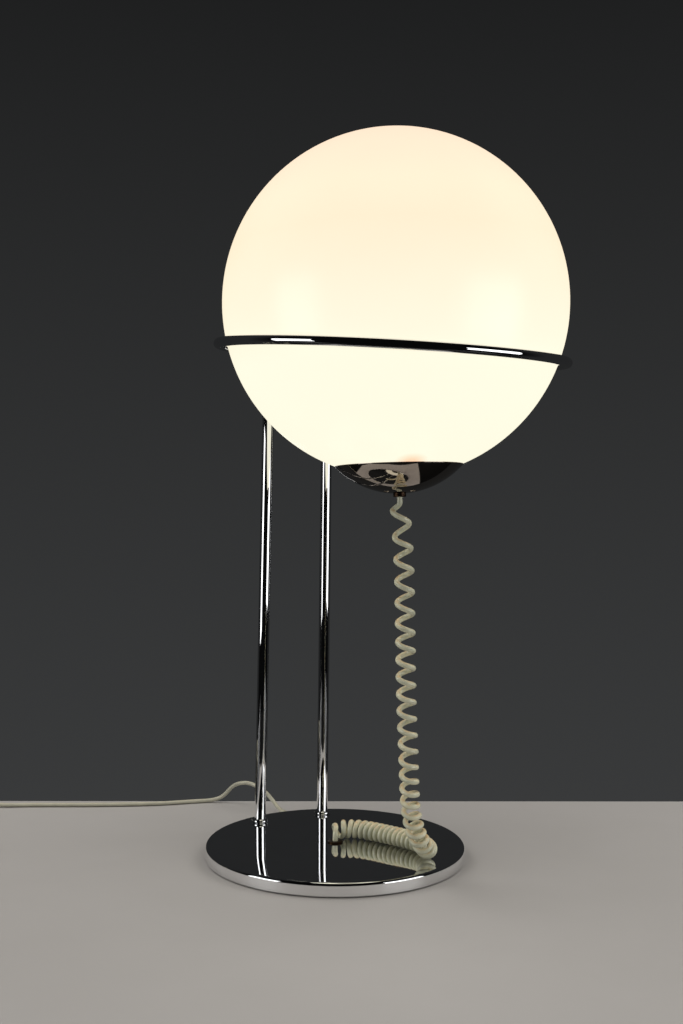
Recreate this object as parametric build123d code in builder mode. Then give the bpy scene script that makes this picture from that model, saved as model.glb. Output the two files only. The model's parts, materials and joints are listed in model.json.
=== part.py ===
from build123d import *
import math
import os

# A table lamp: an opal glass globe rests in a bent hoop on two slim uprights, over a round
# weighted base. A curly cord runs from the cap under the globe to the middle of the base.
# Millimetres, +Z up, origin at the middle of the base's underside. The globe leans out over
# the front, -Y, and the uprights stand at the back, +Y.

os.makedirs("parts", exist_ok=True)

# ---- base ----
base_radius = 123.5
base_height = 13.0
base_edge = 3.0
cover_wall = 1.2
cover_lift = 0.8
felt_thickness = 1.5
bottom_plate_thickness = 1.2
weight_clearance = 0.3
plate_inset = 2.5
plate_screw_circle = 95.0
plate_screw_count = 3
plate_screw_radius = 1.5
plate_screw_length = 6.0
screw_slot = 0.5

# ---- uprights: foot and head places, tube and foot fixings ----
foot_x = 35.0
foot_margin = 20.75
toe_in = 2.7
lean_forward = 10.0
lean_height = 457.0
upright_radius = 5.6
upright_wall = 1.3
collar_radius = 8.5
collar_height = 3.8
bolt_radius = 2.9
bolt_reach = 11.0
bolt_head_radius = 5.0
bolt_head_height = 3.0
bolt_socket = 4.0
washer_radius = 6.2
washer_thickness = 1.0
foot_recess_radius = 7.0
foot_web = 4.2
foot_plug_length = 15.0
grub_radius = 1.6
grub_drop = 12.0
grub_proud = 0.4
grub_socket_radius = 0.8
grub_socket_depth = 1.0

# ---- globe and hoop ----
globe_radius = 150.0
globe_height = 512.8
globe_tilt = 3.7
glass_wall = 3.0
glass_mouth_radius = 44.0
hoop_rod_radius = 4.2
hoop_gap = 2.9
hoop_drop = 42.7
hoop_leg_reach = 40.7
hoop_pitch = 2.6
hoop_roll = 1.9
hoop_neck_radius = 18.0
hoop_bend_radius = 24.0
hoop_engagement = 26.0
hoop_bend_clearance = 2.0
pad_radius = 3.0
pad_angles = (40.0, 140.0, 220.0, 320.0)

# ---- cap, spring and lampholder under the globe ----
cap_radius = 55.7
cap_depth = 24.2
cap_wall = 1.0
vent_radius = 2.5
vent_circle = 16.0
vent_turn = 15.0
vent_count = 4
nipple_radius = 5.0
nipple_bore = 3.7
nipple_flange_radius = 5.65
nipple_flange = 0.8
nipple_spare = 1.0
lock_nut_width = 13.0
lock_nut_thickness = 4.0
spring_plate_radius = 14.0
spring_thickness = 0.8
spring_width = 10.0
spring_foot = 8.0
spring_hook_reach = 2.2
spring_knee_inset = 3.5
spring_knee_drop = 2.6
spring_neck_inset = 2.4
spring_neck_rise = 1.2
spring_tip_inset = 1.5
spring_tip_rise = 6.5
holder_radius = 18.5
holder_height = 44.0
holder_wall = 2.6
holder_floor = 3.0
holder_round = 4.0
holder_wiring_space = 8.0
insert_thickness = 6.0
thread_shell_radius = 14.6
thread_shell_wall = 0.6
thread_shell_length = 24.0
thread_pitch = 4.2
thread_start = 4.0
shell_thread_turns = 5
contact_width = 6.0
contact_thickness = 0.5
contact_rise = 3.0
contact_start = 7.0
contact_step = 4.0
contact_top = 1.5
contact_end = 3.0
bulb_cap_radius = 13.0
bulb_cap_length = 22.0
bulb_cap_wall = 0.8
bulb_thread_turns = 4
bulb_contact_tip = 4.5
bulb_contact_root = 10.0
bulb_contact_height = 2.6
bulb_neck = 5.0
bulb_radius = 30.0
bulb_length = 78.0
bulb_wall = 0.8
bush_height = 1.9
bush_spigot_radius = 3.6
bush_round = 0.6
bush_collar = 1.2
clip_thickness = 0.7
clip_radius = 5.4
clip_groove = 0.5
clip_mouth = 3.4

# ---- cords ----
curly_wire = 4.8
curl_outer_diameter = 18.3
cord_seat_depth = 6.8
core_radius = 0.85
core_spread = 1.05
core_bend = 1.6
lead_diameter = 4.2
lead_exit_turn = 5.0
lead_exit_height = 6.0
relief_length = 20.0
relief_neck_wall = 1.3
relief_flange_wall = 2.3
relief_flange = 1.4
relief_root_wall = 1.5
relief_tip_wall = 0.7
relief_inside = 2.0
lead_straight = 12.0

# ---- wiring space in the base ----
space_width = 36.0
space_back = 66.0
space_front = 16.0
space_corner = 4.0
channel_width = 9.0
block_width = 18.0
block_depth = 16.0
block_height = 7.4
block_place = 32.0
block_pitch = 8.0
block_bore = 1.1
block_corner = 1.5
block_screw_radius = 1.6
block_screw_height = 2.6
block_well = 0.8
block_fixing_radius = 1.15
block_fixing_head = 2.2
block_fixing_cone = 1.1
clamp_place = 56.0
clamp_width = 24.0
clamp_depth = 7.0
clamp_bar_thickness = 1.4
clamp_screw_spacing = 16.0
clamp_screw_radius = 1.2
clamp_head_radius = 2.2
clamp_head_height = 1.2
sheath_past_clamp = 3.0
core_grip = 5.0
core_lead_in = 2.2
core_straight = 2.5
core_run = 8.0
core_clear = 4.0

# ---- centre grommet ----
grommet_flange_radius = 7.4
grommet_flange = 1.6
grommet_sleeve_radius = 4.3
grommet_barb = 1.2
cord_end_depth = 2.0

# ---- running clearances, and how far a cut or a root runs past a face ----
fit = 0.1
slide_fit = 0.2
pad_clearance = 0.3
past = 1.0

# ---- in-line switch, put-away coil and plug: on the table beside the base ----
switch_place = (-303.0, 344.4)
switch_heading = 153.7
switch_length = 60.0
switch_width = 24.0
switch_height = 15.0
switch_wall = 1.6
switch_cord_height = 5.0
switch_cord_depth = 8.0
switch_cord_run = 18.0
switch_round = 3.0
switch_screw_inset = 11.0
switch_screw_rows = 13.0
switch_screw_radius = 1.0
switch_screw_length = 7.4
switch_screw_head = 2.2
switch_head_height = 1.4
switch_post_radius = 2.6
switch_pilot_depth = 5.0
rocker_length = 20.0
rocker_width = 11.0
rocker_axis_height = 10.0
rocker_tilt = 7.0
rocker_pin_radius = 1.2
rocker_pin_fit = 0.06
rocker_end_room = 1.1
rocker_side_room = 0.3
rocker_belly = 2.6
rocker_end_rise = 5.2
rocker_middle_rise = 4.2
cheek_thickness = 1.4
cheek_width = 7.0
switch_contact_place = 8.5
switch_contact_length = 9.0
switch_contact_width = 6.0
switch_contact_thickness = 0.6
switch_button_place = 5.0
switch_button_radius = 1.6
switch_button_height = 1.0
coil_place = (-365.0, 281.0)
coil_outer_radius = 32.9
coil_pitch = 4.75
coil_turns = 7.25
coil_layer_step = 4.7
coil_lift = 0.6
tie_width = 6.0
tie_wall = 0.5
tie_corner = 1.5
plug_place = (-324.0, 198.0)
plug_length = 36.0
plug_width = 35.0
plug_height = 13.7
plug_corner = 4.0
plug_nose_width = 14.7
plug_nose_height = 11.0
plug_taper = 19.8
plug_sleeve_length = 20.0
plug_sleeve_root_wall = 2.0
plug_pin_radius = 2.0
plug_pin_length = 19.0
plug_pin_spacing = 18.6
plug_cord_depth = 10.0


def save(builder, name):
    """Label a finished piece and write it to its own file."""
    builder.part.label = name
    export_step(builder.part, f"parts/{name}.step")


# ---- shared planes ----
top_plane = Plane.XY.offset(base_height)
plate_top = felt_thickness + bottom_plate_thickness
cover_under = base_height - cover_wall
weight_radius = base_radius - cover_wall - weight_clearance

# The feet stand this far in from the base's edge. Each upright leans a little forward and in,
# so its foot has a plane of its own.
foot_y = math.sqrt((base_radius - foot_margin) ** 2 - foot_x**2)
feet = {}
for side, name in ((-1, "left"), (1, "right")):
    feet[name] = Plane(
        origin=(side * foot_x, foot_y, base_height),
        x_dir=(1, 0, 0),
        z_dir=(-side * toe_in, -lean_forward, lean_height),
    )

# The wiring runs from the middle of the base to the rim, a few degrees off straight back.
wiring = Plane.XY.rotated((0, 0, -lead_exit_turn))
exit_plane = Plane(
    origin=wiring.from_local_coords(Vector(0, base_radius, lead_exit_height)),
    x_dir=wiring.x_dir,
    z_dir=wiring.y_dir,
)

# The hoop goes round the globe with the pads' room between them, and its legs run back from
# the ring to the uprights, which sets how far the globe reaches out.
hoop_radius = math.sqrt((globe_radius + hoop_gap + hoop_rod_radius) ** 2 - hoop_drop**2)
globe_reach = hoop_radius + hoop_leg_reach + lean_forward - foot_y

# The globe's own axis tips forward at the bottom, so that the cap looks to the front.
globe_centre = Vector(0, -globe_reach, globe_height)
globe_up = Vector(0, math.sin(math.radians(globe_tilt)), math.cos(math.radians(globe_tilt)))
globe_axis = Axis(globe_centre, globe_up)
globe_plane = Plane(origin=globe_centre, x_dir=(1, 0, 0), z_dir=globe_up)
profile_plane = Plane(origin=globe_centre, x_dir=(1, 0, 0), z_dir=Vector(1, 0, 0).cross(globe_up))

# The hoop's plane droops to the front and to the right, as in the photograph.
hoop_normal = Vector(
    math.tan(math.radians(hoop_roll)), -math.tan(math.radians(hoop_pitch)), 1
).normalized()
hoop_centre = globe_centre - hoop_normal * hoop_drop
hoop_plane = Plane(
    origin=hoop_centre, x_dir=(1, 0, -math.tan(math.radians(hoop_roll))), z_dir=hoop_normal
)


# ================= base =================
with BuildPart() as base_felt:
    with BuildSketch(Plane.XY):
        Circle(base_radius - cover_wall - plate_inset)
    extrude(amount=felt_thickness)
save(base_felt, "base_felt")

with BuildPart() as bottom_plate:
    with BuildSketch(Plane.XY.offset(felt_thickness)):
        Circle(base_radius - cover_wall - plate_inset)
    extrude(amount=bottom_plate_thickness)
    with Locations(Plane.XY.offset(felt_thickness)):
        with PolarLocations(plate_screw_circle, plate_screw_count):
            with Locations(Location((0, 0, 0), (180, 0, 0))):
                CounterSinkHole(
                    plate_screw_radius + fit, 2 * plate_screw_radius, bottom_plate_thickness
                )
save(bottom_plate, "bottom_plate")

with BuildPart() as plate_screws:
    with Locations(Plane.XY.offset(felt_thickness)):
        with PolarLocations(plate_screw_circle, plate_screw_count):
            Cone(
                2 * plate_screw_radius - fit,
                plate_screw_radius,
                bottom_plate_thickness,
                align=(Align.CENTER, Align.CENTER, Align.MIN),
            )
            Cylinder(
                plate_screw_radius,
                plate_screw_length,
                align=(Align.CENTER, Align.CENTER, Align.MIN),
            )
            Box(
                screw_slot,
                2 * plate_screw_radius,
                screw_slot,
                align=(Align.CENTER, Align.CENTER, Align.MIN),
                mode=Mode.SUBTRACT,
            )
save(plate_screws, "plate_screws")

with BuildPart() as base_weight:
    with BuildSketch(Plane.XY.offset(plate_top)):
        Circle(weight_radius)
    extrude(amount=cover_under - plate_top)
    chamfer(base_weight.edges().group_by(Axis.Z)[-1], base_edge - cover_wall + weight_clearance)
    with BuildSketch(wiring.offset(plate_top)):
        with Locations((0, (space_back - space_front) / 2)):
            RectangleRounded(space_width, space_back + space_front, space_corner)
        with Locations((0, space_back - past)):
            Rectangle(channel_width, base_radius, align=(Align.CENTER, Align.MIN))
    extrude(amount=base_height, mode=Mode.SUBTRACT)
    with Locations(Plane.XY.offset(plate_top)):
        with PolarLocations(plate_screw_circle, plate_screw_count):
            Cylinder(
                plate_screw_radius + fit,
                plate_screw_length,
                align=(Align.CENTER, Align.CENTER, Align.MIN),
                mode=Mode.SUBTRACT,
            )
    for foot in feet.values():
        with BuildSketch(foot.offset(-cover_wall - foot_web)):
            Circle(foot_recess_radius)
        extrude(amount=-base_height, mode=Mode.SUBTRACT)
        with BuildSketch(foot.offset(-base_height)):
            Circle(bolt_radius + slide_fit)
        extrude(amount=2 * base_height, mode=Mode.SUBTRACT)
save(base_weight, "base_weight")

with BuildPart() as base_cover:
    with BuildSketch(Plane.XY.offset(cover_lift)):
        Circle(base_radius)
    extrude(amount=base_height - cover_lift)
    fillet(base_cover.edges().group_by(Axis.Z)[-1], base_edge)
    offset(amount=-cover_wall, openings=base_cover.faces().sort_by(Axis.Z)[0])
    with BuildSketch(Plane.XY.offset(cover_under - past)):
        Circle(grommet_sleeve_radius + fit)
    extrude(amount=2 * base_height, mode=Mode.SUBTRACT)
    for foot in feet.values():
        with BuildSketch(foot.offset(-base_height)):
            Circle(bolt_radius + slide_fit)
        extrude(amount=2 * base_height, mode=Mode.SUBTRACT)
    with BuildSketch(exit_plane.offset(-4 * cover_wall)):
        Circle(lead_diameter / 2 + relief_neck_wall + fit)
    extrude(amount=8 * cover_wall, mode=Mode.SUBTRACT)
save(base_cover, "base_cover")

# The eyelet where the curly cord goes in at the middle of the base: one flange shows above
# the cover, and a smaller one snaps in below it.
with BuildPart() as centre_grommet:
    with BuildSketch(top_plane):
        Circle(grommet_flange_radius)
    extrude(amount=grommet_flange)
    fillet(centre_grommet.edges().group_by(Axis.Z)[-1], grommet_flange * 0.6)
    with BuildSketch(Plane.XY.offset(cover_under)):
        Circle(grommet_sleeve_radius)
    extrude(amount=cover_wall)
    with BuildSketch(Plane.XY.offset(cover_under - grommet_barb)):
        Circle(grommet_sleeve_radius + grommet_barb)
    extrude(amount=grommet_barb)
    with BuildSketch(Plane.XY):
        Circle(curly_wire / 2 + fit)
    extrude(amount=2 * base_height, mode=Mode.SUBTRACT)
save(centre_grommet, "centre_grommet")

# The flexible sleeve where the mains lead leaves the rim at the back.
with BuildPart() as mains_relief:
    with BuildSketch(exit_plane.offset(-cover_wall - relief_inside)):
        Circle(lead_diameter / 2 + relief_neck_wall)
    extrude(amount=cover_wall + relief_inside)
    with BuildSketch(exit_plane):
        Circle(lead_diameter / 2 + relief_flange_wall)
    extrude(amount=relief_flange)
    with BuildSketch(exit_plane.offset(relief_flange)):
        Circle(lead_diameter / 2 + relief_root_wall)
    with BuildSketch(exit_plane.offset(relief_length)):
        Circle(lead_diameter / 2 + relief_tip_wall)
    loft()
    with BuildSketch(exit_plane.offset(-base_height)):
        Circle(lead_diameter / 2 + fit)
    extrude(amount=base_height + 2 * relief_length, mode=Mode.SUBTRACT)
save(mains_relief, "mains_relief")

# ---- wiring inside the base ----
with BuildPart() as terminal_block:
    with BuildSketch(wiring.offset(plate_top)):
        with Locations((0, block_place)):
            RectangleRounded(block_width, block_depth, block_corner)
    extrude(amount=block_height)
    with Locations(wiring.offset(lead_exit_height)):
        with Locations((-block_pitch / 2, block_place), (block_pitch / 2, block_place)):
            Cylinder(block_bore, 2 * block_depth, rotation=(90, 0, 0), mode=Mode.SUBTRACT)
    with Locations(wiring.offset(plate_top + block_height)):
        with Locations((-block_pitch / 2, block_place), (block_pitch / 2, block_place)):
            CounterBoreHole(
                block_screw_radius + fit / 2, block_screw_radius + block_well, block_well,
                block_height + plate_top - lead_exit_height,
            )
        with Locations((0, block_place)):
            CounterSinkHole(
                block_fixing_radius + fit, block_fixing_head + slide_fit, block_height
            )
save(terminal_block, "terminal_block")

with BuildPart() as terminal_screws:
    with Locations(wiring.offset(lead_exit_height + core_radius + fit)):
        with Locations((-block_pitch / 2, block_place), (block_pitch / 2, block_place)):
            Cylinder(
                block_screw_radius,
                block_screw_height,
                align=(Align.CENTER, Align.CENTER, Align.MIN),
            )
            with Locations((0, 0, block_screw_height)):
                Box(
                    screw_slot,
                    3 * block_screw_radius,
                    screw_slot,
                    align=(Align.CENTER, Align.CENTER, Align.MAX),
                    mode=Mode.SUBTRACT,
                )
    with Locations(wiring.offset(plate_top)):
        with Locations((0, block_place)):
            Cylinder(
                block_fixing_radius,
                block_height - block_fixing_cone,
                align=(Align.CENTER, Align.CENTER, Align.MIN),
            )
            with Locations((0, 0, block_height - block_fixing_cone - fit)):
                Cone(
                    block_fixing_radius,
                    block_fixing_head,
                    block_fixing_cone,
                    align=(Align.CENTER, Align.CENTER, Align.MIN),
                )
save(terminal_screws, "terminal_screws")

with BuildPart() as clamp_block:
    with BuildSketch(wiring.offset(plate_top)):
        with Locations((0, clamp_place)):
            Rectangle(clamp_width, clamp_depth)
    extrude(amount=lead_exit_height - plate_top)
    with Locations(wiring.offset(lead_exit_height)):
        with Locations((0, clamp_place)):
            Cylinder(lead_diameter / 2, 2 * clamp_depth, rotation=(90, 0, 0), mode=Mode.SUBTRACT)
        with Locations(
            (-clamp_screw_spacing / 2, clamp_place), (clamp_screw_spacing / 2, clamp_place)
        ):
            Cylinder(clamp_screw_radius + fit, 2 * base_height, mode=Mode.SUBTRACT)
save(clamp_block, "clamp_block")

clamp_bar_bottom = lead_exit_height + lead_diameter / 2
with BuildPart() as clamp_bar:
    with BuildSketch(wiring.offset(clamp_bar_bottom)):
        with Locations((0, clamp_place)):
            RectangleRounded(clamp_width, clamp_depth, block_corner)
        with Locations(
            (-clamp_screw_spacing / 2, clamp_place), (clamp_screw_spacing / 2, clamp_place)
        ):
            Circle(clamp_screw_radius + fit, mode=Mode.SUBTRACT)
    extrude(amount=clamp_bar_thickness)
save(clamp_bar, "clamp_bar")

with BuildPart() as clamp_screws:
    with Locations(wiring.offset(clamp_bar_bottom + clamp_bar_thickness)):
        with Locations(
            (-clamp_screw_spacing / 2, clamp_place), (clamp_screw_spacing / 2, clamp_place)
        ):
            Cylinder(
                clamp_head_radius,
                clamp_head_height,
                align=(Align.CENTER, Align.CENTER, Align.MIN),
            )
            Cylinder(
                clamp_screw_radius,
                clamp_bar_bottom + clamp_bar_thickness - plate_top,
                align=(Align.CENTER, Align.CENTER, Align.MAX),
            )
            with Locations((0, 0, clamp_head_height)):
                Box(
                    screw_slot,
                    3 * clamp_head_radius,
                    screw_slot,
                    align=(Align.CENTER, Align.CENTER, Align.MAX),
                    mode=Mode.SUBTRACT,
                )
save(clamp_screws, "clamp_screws")

# The sheath ends just inside the clamp, and its two cores go on to the terminals.
lead_inner_end = clamp_place - clamp_depth / 2 - sheath_past_clamp
lead_inner_length = base_radius - lead_inner_end
with BuildPart() as lead_tail:
    with BuildSketch(exit_plane.offset(relief_length)):
        Circle(lead_diameter / 2)
    extrude(amount=-(lead_inner_length + relief_length))
save(lead_tail, "lead_tail")


def core_pair(points):
    """Two insulated cores along a route and its mirror image across the wiring's middle."""
    with BuildPart() as cores:
        for side in (-1, 1):
            places = [
                wiring.from_local_coords(Vector(side * x, y, z)) for x, y, z in points
            ]
            with BuildLine() as route:
                FilletPolyline(*places, radius=core_bend)
            path = route.wire()
            with BuildSketch(Plane(origin=path @ 0, z_dir=path % 0)):
                Circle(core_radius)
            sweep(path=path)
    return cores


block_back = block_place + block_depth / 2
block_front = block_place - block_depth / 2
lead_cores = core_pair(
    [
        (core_spread, lead_inner_end, lead_exit_height),
        (core_spread, lead_inner_end - core_straight, lead_exit_height),
        (block_pitch / 2, block_back + core_lead_in, lead_exit_height),
        (block_pitch / 2, block_back - core_grip, lead_exit_height),
    ]
)
save(lead_cores, "lead_cores")

cord_end_height = cover_under - cord_end_depth
cord_cores = core_pair(
    [
        (core_spread, 0, cord_end_height),
        (core_spread, 0, lead_exit_height),
        (core_spread, core_run, lead_exit_height),
        (block_pitch / 2, block_front - core_clear, lead_exit_height),
        (block_pitch / 2, block_front + core_grip, lead_exit_height),
    ]
)
save(cord_cores, "cord_cores")


# ================= uprights =================
def hoop_corner(foot):
    """Where an upright's axis meets the hoop's plane."""
    rise = (hoop_centre - foot.origin).dot(hoop_normal) / foot.z_dir.dot(hoop_normal)
    return foot.origin + foot.z_dir * rise


def tube_length(foot):
    """From the cover to just under the hoop's bend."""
    corner = hoop_corner(foot)
    turn = (-foot.z_dir).get_angle(hoop_plane.y_dir)
    bend_start = hoop_bend_radius * math.tan(math.radians(turn / 2))
    return (corner - foot.origin).length - bend_start - hoop_bend_clearance


tube_bore = upright_radius - upright_wall
for name, foot in feet.items():
    length = tube_length(foot)
    with BuildPart() as upright:
        with BuildSketch(foot.offset(-past)):
            Circle(upright_radius)
            Circle(tube_bore, mode=Mode.SUBTRACT)
        extrude(amount=length + past)
        split(bisect_by=top_plane, keep=Keep.TOP)
        chamfer(upright.edges().group_by(Axis.Z)[-1], upright_wall * 0.3)
        grub_place = foot.origin + foot.z_dir * (length - grub_drop)
        with BuildSketch(Plane(origin=grub_place, z_dir=(0, 1, 0))):
            Circle(grub_radius)
        extrude(amount=2 * upright_radius, mode=Mode.SUBTRACT)
    save(upright, f"{name}_upright")

    with BuildPart() as collar:
        with BuildSketch(foot.offset(-past)):
            Circle(collar_radius)
            Circle(upright_radius + fit / 2, mode=Mode.SUBTRACT)
        extrude(amount=collar_height + past)
        split(bisect_by=top_plane, keep=Keep.TOP)
        outer = collar.edges().filter_by(GeomType.CIRCLE).group_by(SortBy.RADIUS)[-1]
        fillet(outer.sort_by(Axis.Z)[-1], collar_height * 0.55)
    save(collar, f"{name}_collar")

with BuildPart() as foot_plugs:
    for foot in feet.values():
        with BuildSketch(foot.offset(-past)):
            Circle(tube_bore)
        extrude(amount=foot_plug_length + past)
    split(bisect_by=top_plane, keep=Keep.TOP)
    for foot in feet.values():
        with BuildSketch(foot.offset(-past)):
            Circle(bolt_radius + fit)
        extrude(amount=bolt_reach + 2 * past, mode=Mode.SUBTRACT)
save(foot_plugs, "foot_plugs")

washer_seat = -cover_wall - foot_web
with BuildPart() as foot_washers:
    for foot in feet.values():
        with BuildSketch(foot.offset(washer_seat)):
            Circle(washer_radius)
            Circle(bolt_radius + slide_fit, mode=Mode.SUBTRACT)
        extrude(amount=-washer_thickness)
save(foot_washers, "foot_washers")

with BuildPart() as foot_bolts:
    for foot in feet.values():
        with BuildSketch(foot.offset(washer_seat - washer_thickness)):
            Circle(bolt_head_radius)
        extrude(amount=-bolt_head_height)
        with BuildSketch(foot.offset(washer_seat - washer_thickness)):
            Circle(bolt_radius)
        extrude(amount=bolt_reach - washer_seat + washer_thickness)
        with BuildSketch(foot.offset(washer_seat - washer_thickness - bolt_head_height)):
            RegularPolygon(bolt_socket / 2, 6, major_radius=False)
        extrude(amount=bolt_head_height * 0.6, mode=Mode.SUBTRACT)
save(foot_bolts, "foot_bolts")

with BuildPart() as grub_screws:
    for foot in feet.values():
        grub_place = foot.origin + foot.z_dir * (tube_length(foot) - grub_drop)
        grub_plane = Plane(origin=grub_place, z_dir=(0, 1, 0))
        with BuildSketch(grub_plane.offset(hoop_rod_radius + fit / 2)):
            Circle(grub_radius - fit / 2)
        extrude(amount=upright_radius - hoop_rod_radius + grub_proud)
        with BuildSketch(grub_plane.offset(upright_radius + grub_proud + fit)):
            RegularPolygon(grub_socket_radius, 6)
        extrude(amount=-grub_socket_depth, mode=Mode.SUBTRACT)
save(grub_screws, "grub_screws")


# ================= hoop =================
def hoop_leg(foot, side):
    """One leg's places: end in the tube, bend corner, neck's two ends and the middle of its arc."""
    corner = hoop_corner(foot)
    end = foot.origin + foot.z_dir * (tube_length(foot) - hoop_engagement)
    local = hoop_plane.to_local_coords(corner)
    neck_x = local.X + side * hoop_neck_radius
    neck_y = math.sqrt((hoop_radius + hoop_neck_radius) ** 2 - neck_x**2)
    neck = Vector(neck_x, neck_y)
    on_circle = neck * (hoop_radius / (hoop_radius + hoop_neck_radius))
    on_leg = Vector(local.X, neck_y)
    middle = neck + ((on_circle - neck) + (on_leg - neck)).normalized() * hoop_neck_radius
    places = [hoop_plane.from_local_coords(p) for p in (on_leg, middle, on_circle)]
    return [end, corner, *places]


with BuildPart() as hoop:
    right = hoop_leg(feet["right"], 1)
    left = hoop_leg(feet["left"], -1)
    hoop_front = hoop_plane.from_local_coords(Vector(0, -hoop_radius))
    with BuildLine() as hoop_route:
        FilletPolyline(right[0], right[1], right[2], radius=hoop_bend_radius)
        ThreePointArc(right[2], right[3], right[4])
        ThreePointArc(right[4], hoop_front, left[4])
        ThreePointArc(left[4], left[3], left[2])
        FilletPolyline(left[2], left[1], left[0], radius=hoop_bend_radius)
    hoop_path = hoop_route.wire()
    with BuildSketch(Plane(origin=hoop_path @ 0, z_dir=hoop_path % 0)):
        Circle(hoop_rod_radius)
    sweep(path=hoop_path)
save(hoop, "hoop")

# Four clear bumpers on the inside of the hoop keep the glass off the metal.
with BuildPart() as hoop_pads:
    for angle in pad_angles:
        turn = math.radians(angle - 90)
        centre = hoop_plane.from_local_coords(
            Vector(math.cos(turn), math.sin(turn)) * hoop_radius
        )
        inward = globe_centre - centre
        pad_reach = inward.length - globe_radius - pad_clearance
        with BuildSketch(Plane(origin=centre, z_dir=inward)):
            Circle(pad_radius)
        extrude(amount=pad_reach)
    add(hoop.part, mode=Mode.SUBTRACT)
save(hoop_pads, "hoop_pads")


# ================= globe =================
mouth_angle = math.degrees(math.acos(glass_mouth_radius / globe_radius))
with BuildPart() as glass_globe:
    with BuildSketch(profile_plane):
        with BuildLine():
            outer = CenterArc((0, 0), globe_radius, -mouth_angle, 90 + mouth_angle)
            inner = CenterArc((0, 0), globe_radius - glass_wall, -mouth_angle, 90 + mouth_angle)
            Line(outer @ 0, inner @ 0)
            Line(outer @ 1, inner @ 1)
        make_face()
    revolve(axis=globe_axis)
    lip = glass_globe.edges().filter_by(GeomType.CIRCLE).sort_by(globe_axis)[:2]
    fillet(lip, glass_wall * 0.4)
save(glass_globe, "glass_globe")

# The cap is a shallow dish. Its rim's inner edge meets the glass.
dish_radius = (cap_radius**2 + cap_depth**2) / (2 * cap_depth)
dish_inner = dish_radius - cap_wall
rim_inner_radius = math.sqrt(dish_inner**2 - (dish_radius - cap_depth) ** 2)
cap_rim = -math.sqrt(globe_radius**2 - rim_inner_radius**2) - fit
dish_centre = cap_rim + dish_radius - cap_depth
cap_bottom = dish_centre - dish_radius


def dish_floor(radius):
    """Height of the cap's inner surface at a radius."""
    return dish_centre - math.sqrt(dish_inner**2 - radius**2)


with BuildPart() as cap:
    with BuildSketch(profile_plane):
        with Locations((0, dish_centre)):
            Circle(dish_radius)
            Circle(dish_inner, mode=Mode.SUBTRACT)
        with Locations((0, cap_rim)):
            Rectangle(
                4 * dish_radius, 4 * dish_radius, align=(Align.CENTER, Align.MIN), mode=Mode.SUBTRACT
            )
        with Locations((nipple_radius + fit, 0)):
            Rectangle(
                4 * dish_radius, 8 * dish_radius, align=(Align.MAX, Align.CENTER), mode=Mode.SUBTRACT
            )
    revolve(axis=globe_axis)
    with BuildSketch(globe_plane.offset(cap_bottom - past)):
        with PolarLocations(vent_circle, vent_count, start_angle=vent_turn):
            Circle(vent_radius)
    extrude(amount=cap_depth / 2, mode=Mode.SUBTRACT)
save(cap, "cap")

nut_corner = lock_nut_width / math.sqrt(3)
nut_seat = dish_floor(nut_corner) + fit / 2
plate_seat = nut_seat + lock_nut_thickness
holder_seat = plate_seat + spring_thickness

# The nipple clamps the cap, the spring plate and the lampholder together.
nipple_top = holder_seat + holder_floor + lock_nut_thickness + nipple_spare
with BuildPart() as threaded_nipple:
    with BuildSketch(globe_plane.offset(cap_bottom - nipple_flange)):
        Circle(nipple_flange_radius)
    extrude(amount=nipple_flange)
    with BuildSketch(globe_plane.offset(cap_bottom)):
        Circle(nipple_radius)
    extrude(amount=nipple_top - cap_bottom)
    with BuildSketch(globe_plane.offset(cap_bottom - nipple_flange - past)):
        Circle(nipple_bore)
    extrude(amount=nipple_top - cap_bottom + nipple_flange + 2 * past, mode=Mode.SUBTRACT)
save(threaded_nipple, "threaded_nipple")

with BuildPart() as lock_nuts:
    for seat in (nut_seat, holder_seat + holder_floor):
        with BuildSketch(globe_plane.offset(seat)):
            RegularPolygon(lock_nut_width / 2, 6, major_radius=False)
            Circle(nipple_radius + fit / 2, mode=Mode.SUBTRACT)
        extrude(amount=lock_nut_thickness)
save(lock_nuts, "lock_nuts")

# Three springs reach up through the globe's mouth and hook over the glass lip.
mouth_height = -math.sqrt(globe_radius**2 - glass_mouth_radius**2)
lip_top = mouth_height + glass_wall
arm_plane_height = plate_seat + spring_thickness / 2
glass_inside = globe_radius - glass_wall
spring_hook_radius = glass_mouth_radius + spring_hook_reach
hook_height = pad_clearance + spring_thickness / 2 - math.sqrt(
    glass_inside**2 - spring_hook_radius**2 - spring_width**2 / 4
)
with BuildPart() as cap_spring:
    with BuildSketch(globe_plane.offset(plate_seat)):
        Circle(spring_plate_radius)
        Circle(nipple_radius + fit, mode=Mode.SUBTRACT)
    extrude(amount=spring_thickness)
    for turn in range(3):
        arm_x = globe_plane.x_dir.rotate(Axis((0, 0, 0), globe_up), 120 * turn + 90)
        with BuildSketch(
            Plane(origin=globe_centre, x_dir=arm_x, z_dir=arm_x.cross(globe_up))
        ):
            with BuildLine():
                Polyline(
                    (spring_plate_radius - 2 * past, arm_plane_height),
                    (spring_plate_radius + spring_foot, arm_plane_height),
                    (glass_mouth_radius - spring_knee_inset, mouth_height - spring_knee_drop),
                    (glass_mouth_radius - spring_neck_inset, lip_top + spring_neck_rise),
                    (spring_hook_radius, hook_height),
                    (glass_mouth_radius - spring_tip_inset, lip_top + spring_tip_rise),
                )
            trace(line_width=spring_thickness)
        extrude(amount=spring_width / 2, both=True)
save(cap_spring, "cap_spring")

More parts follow.
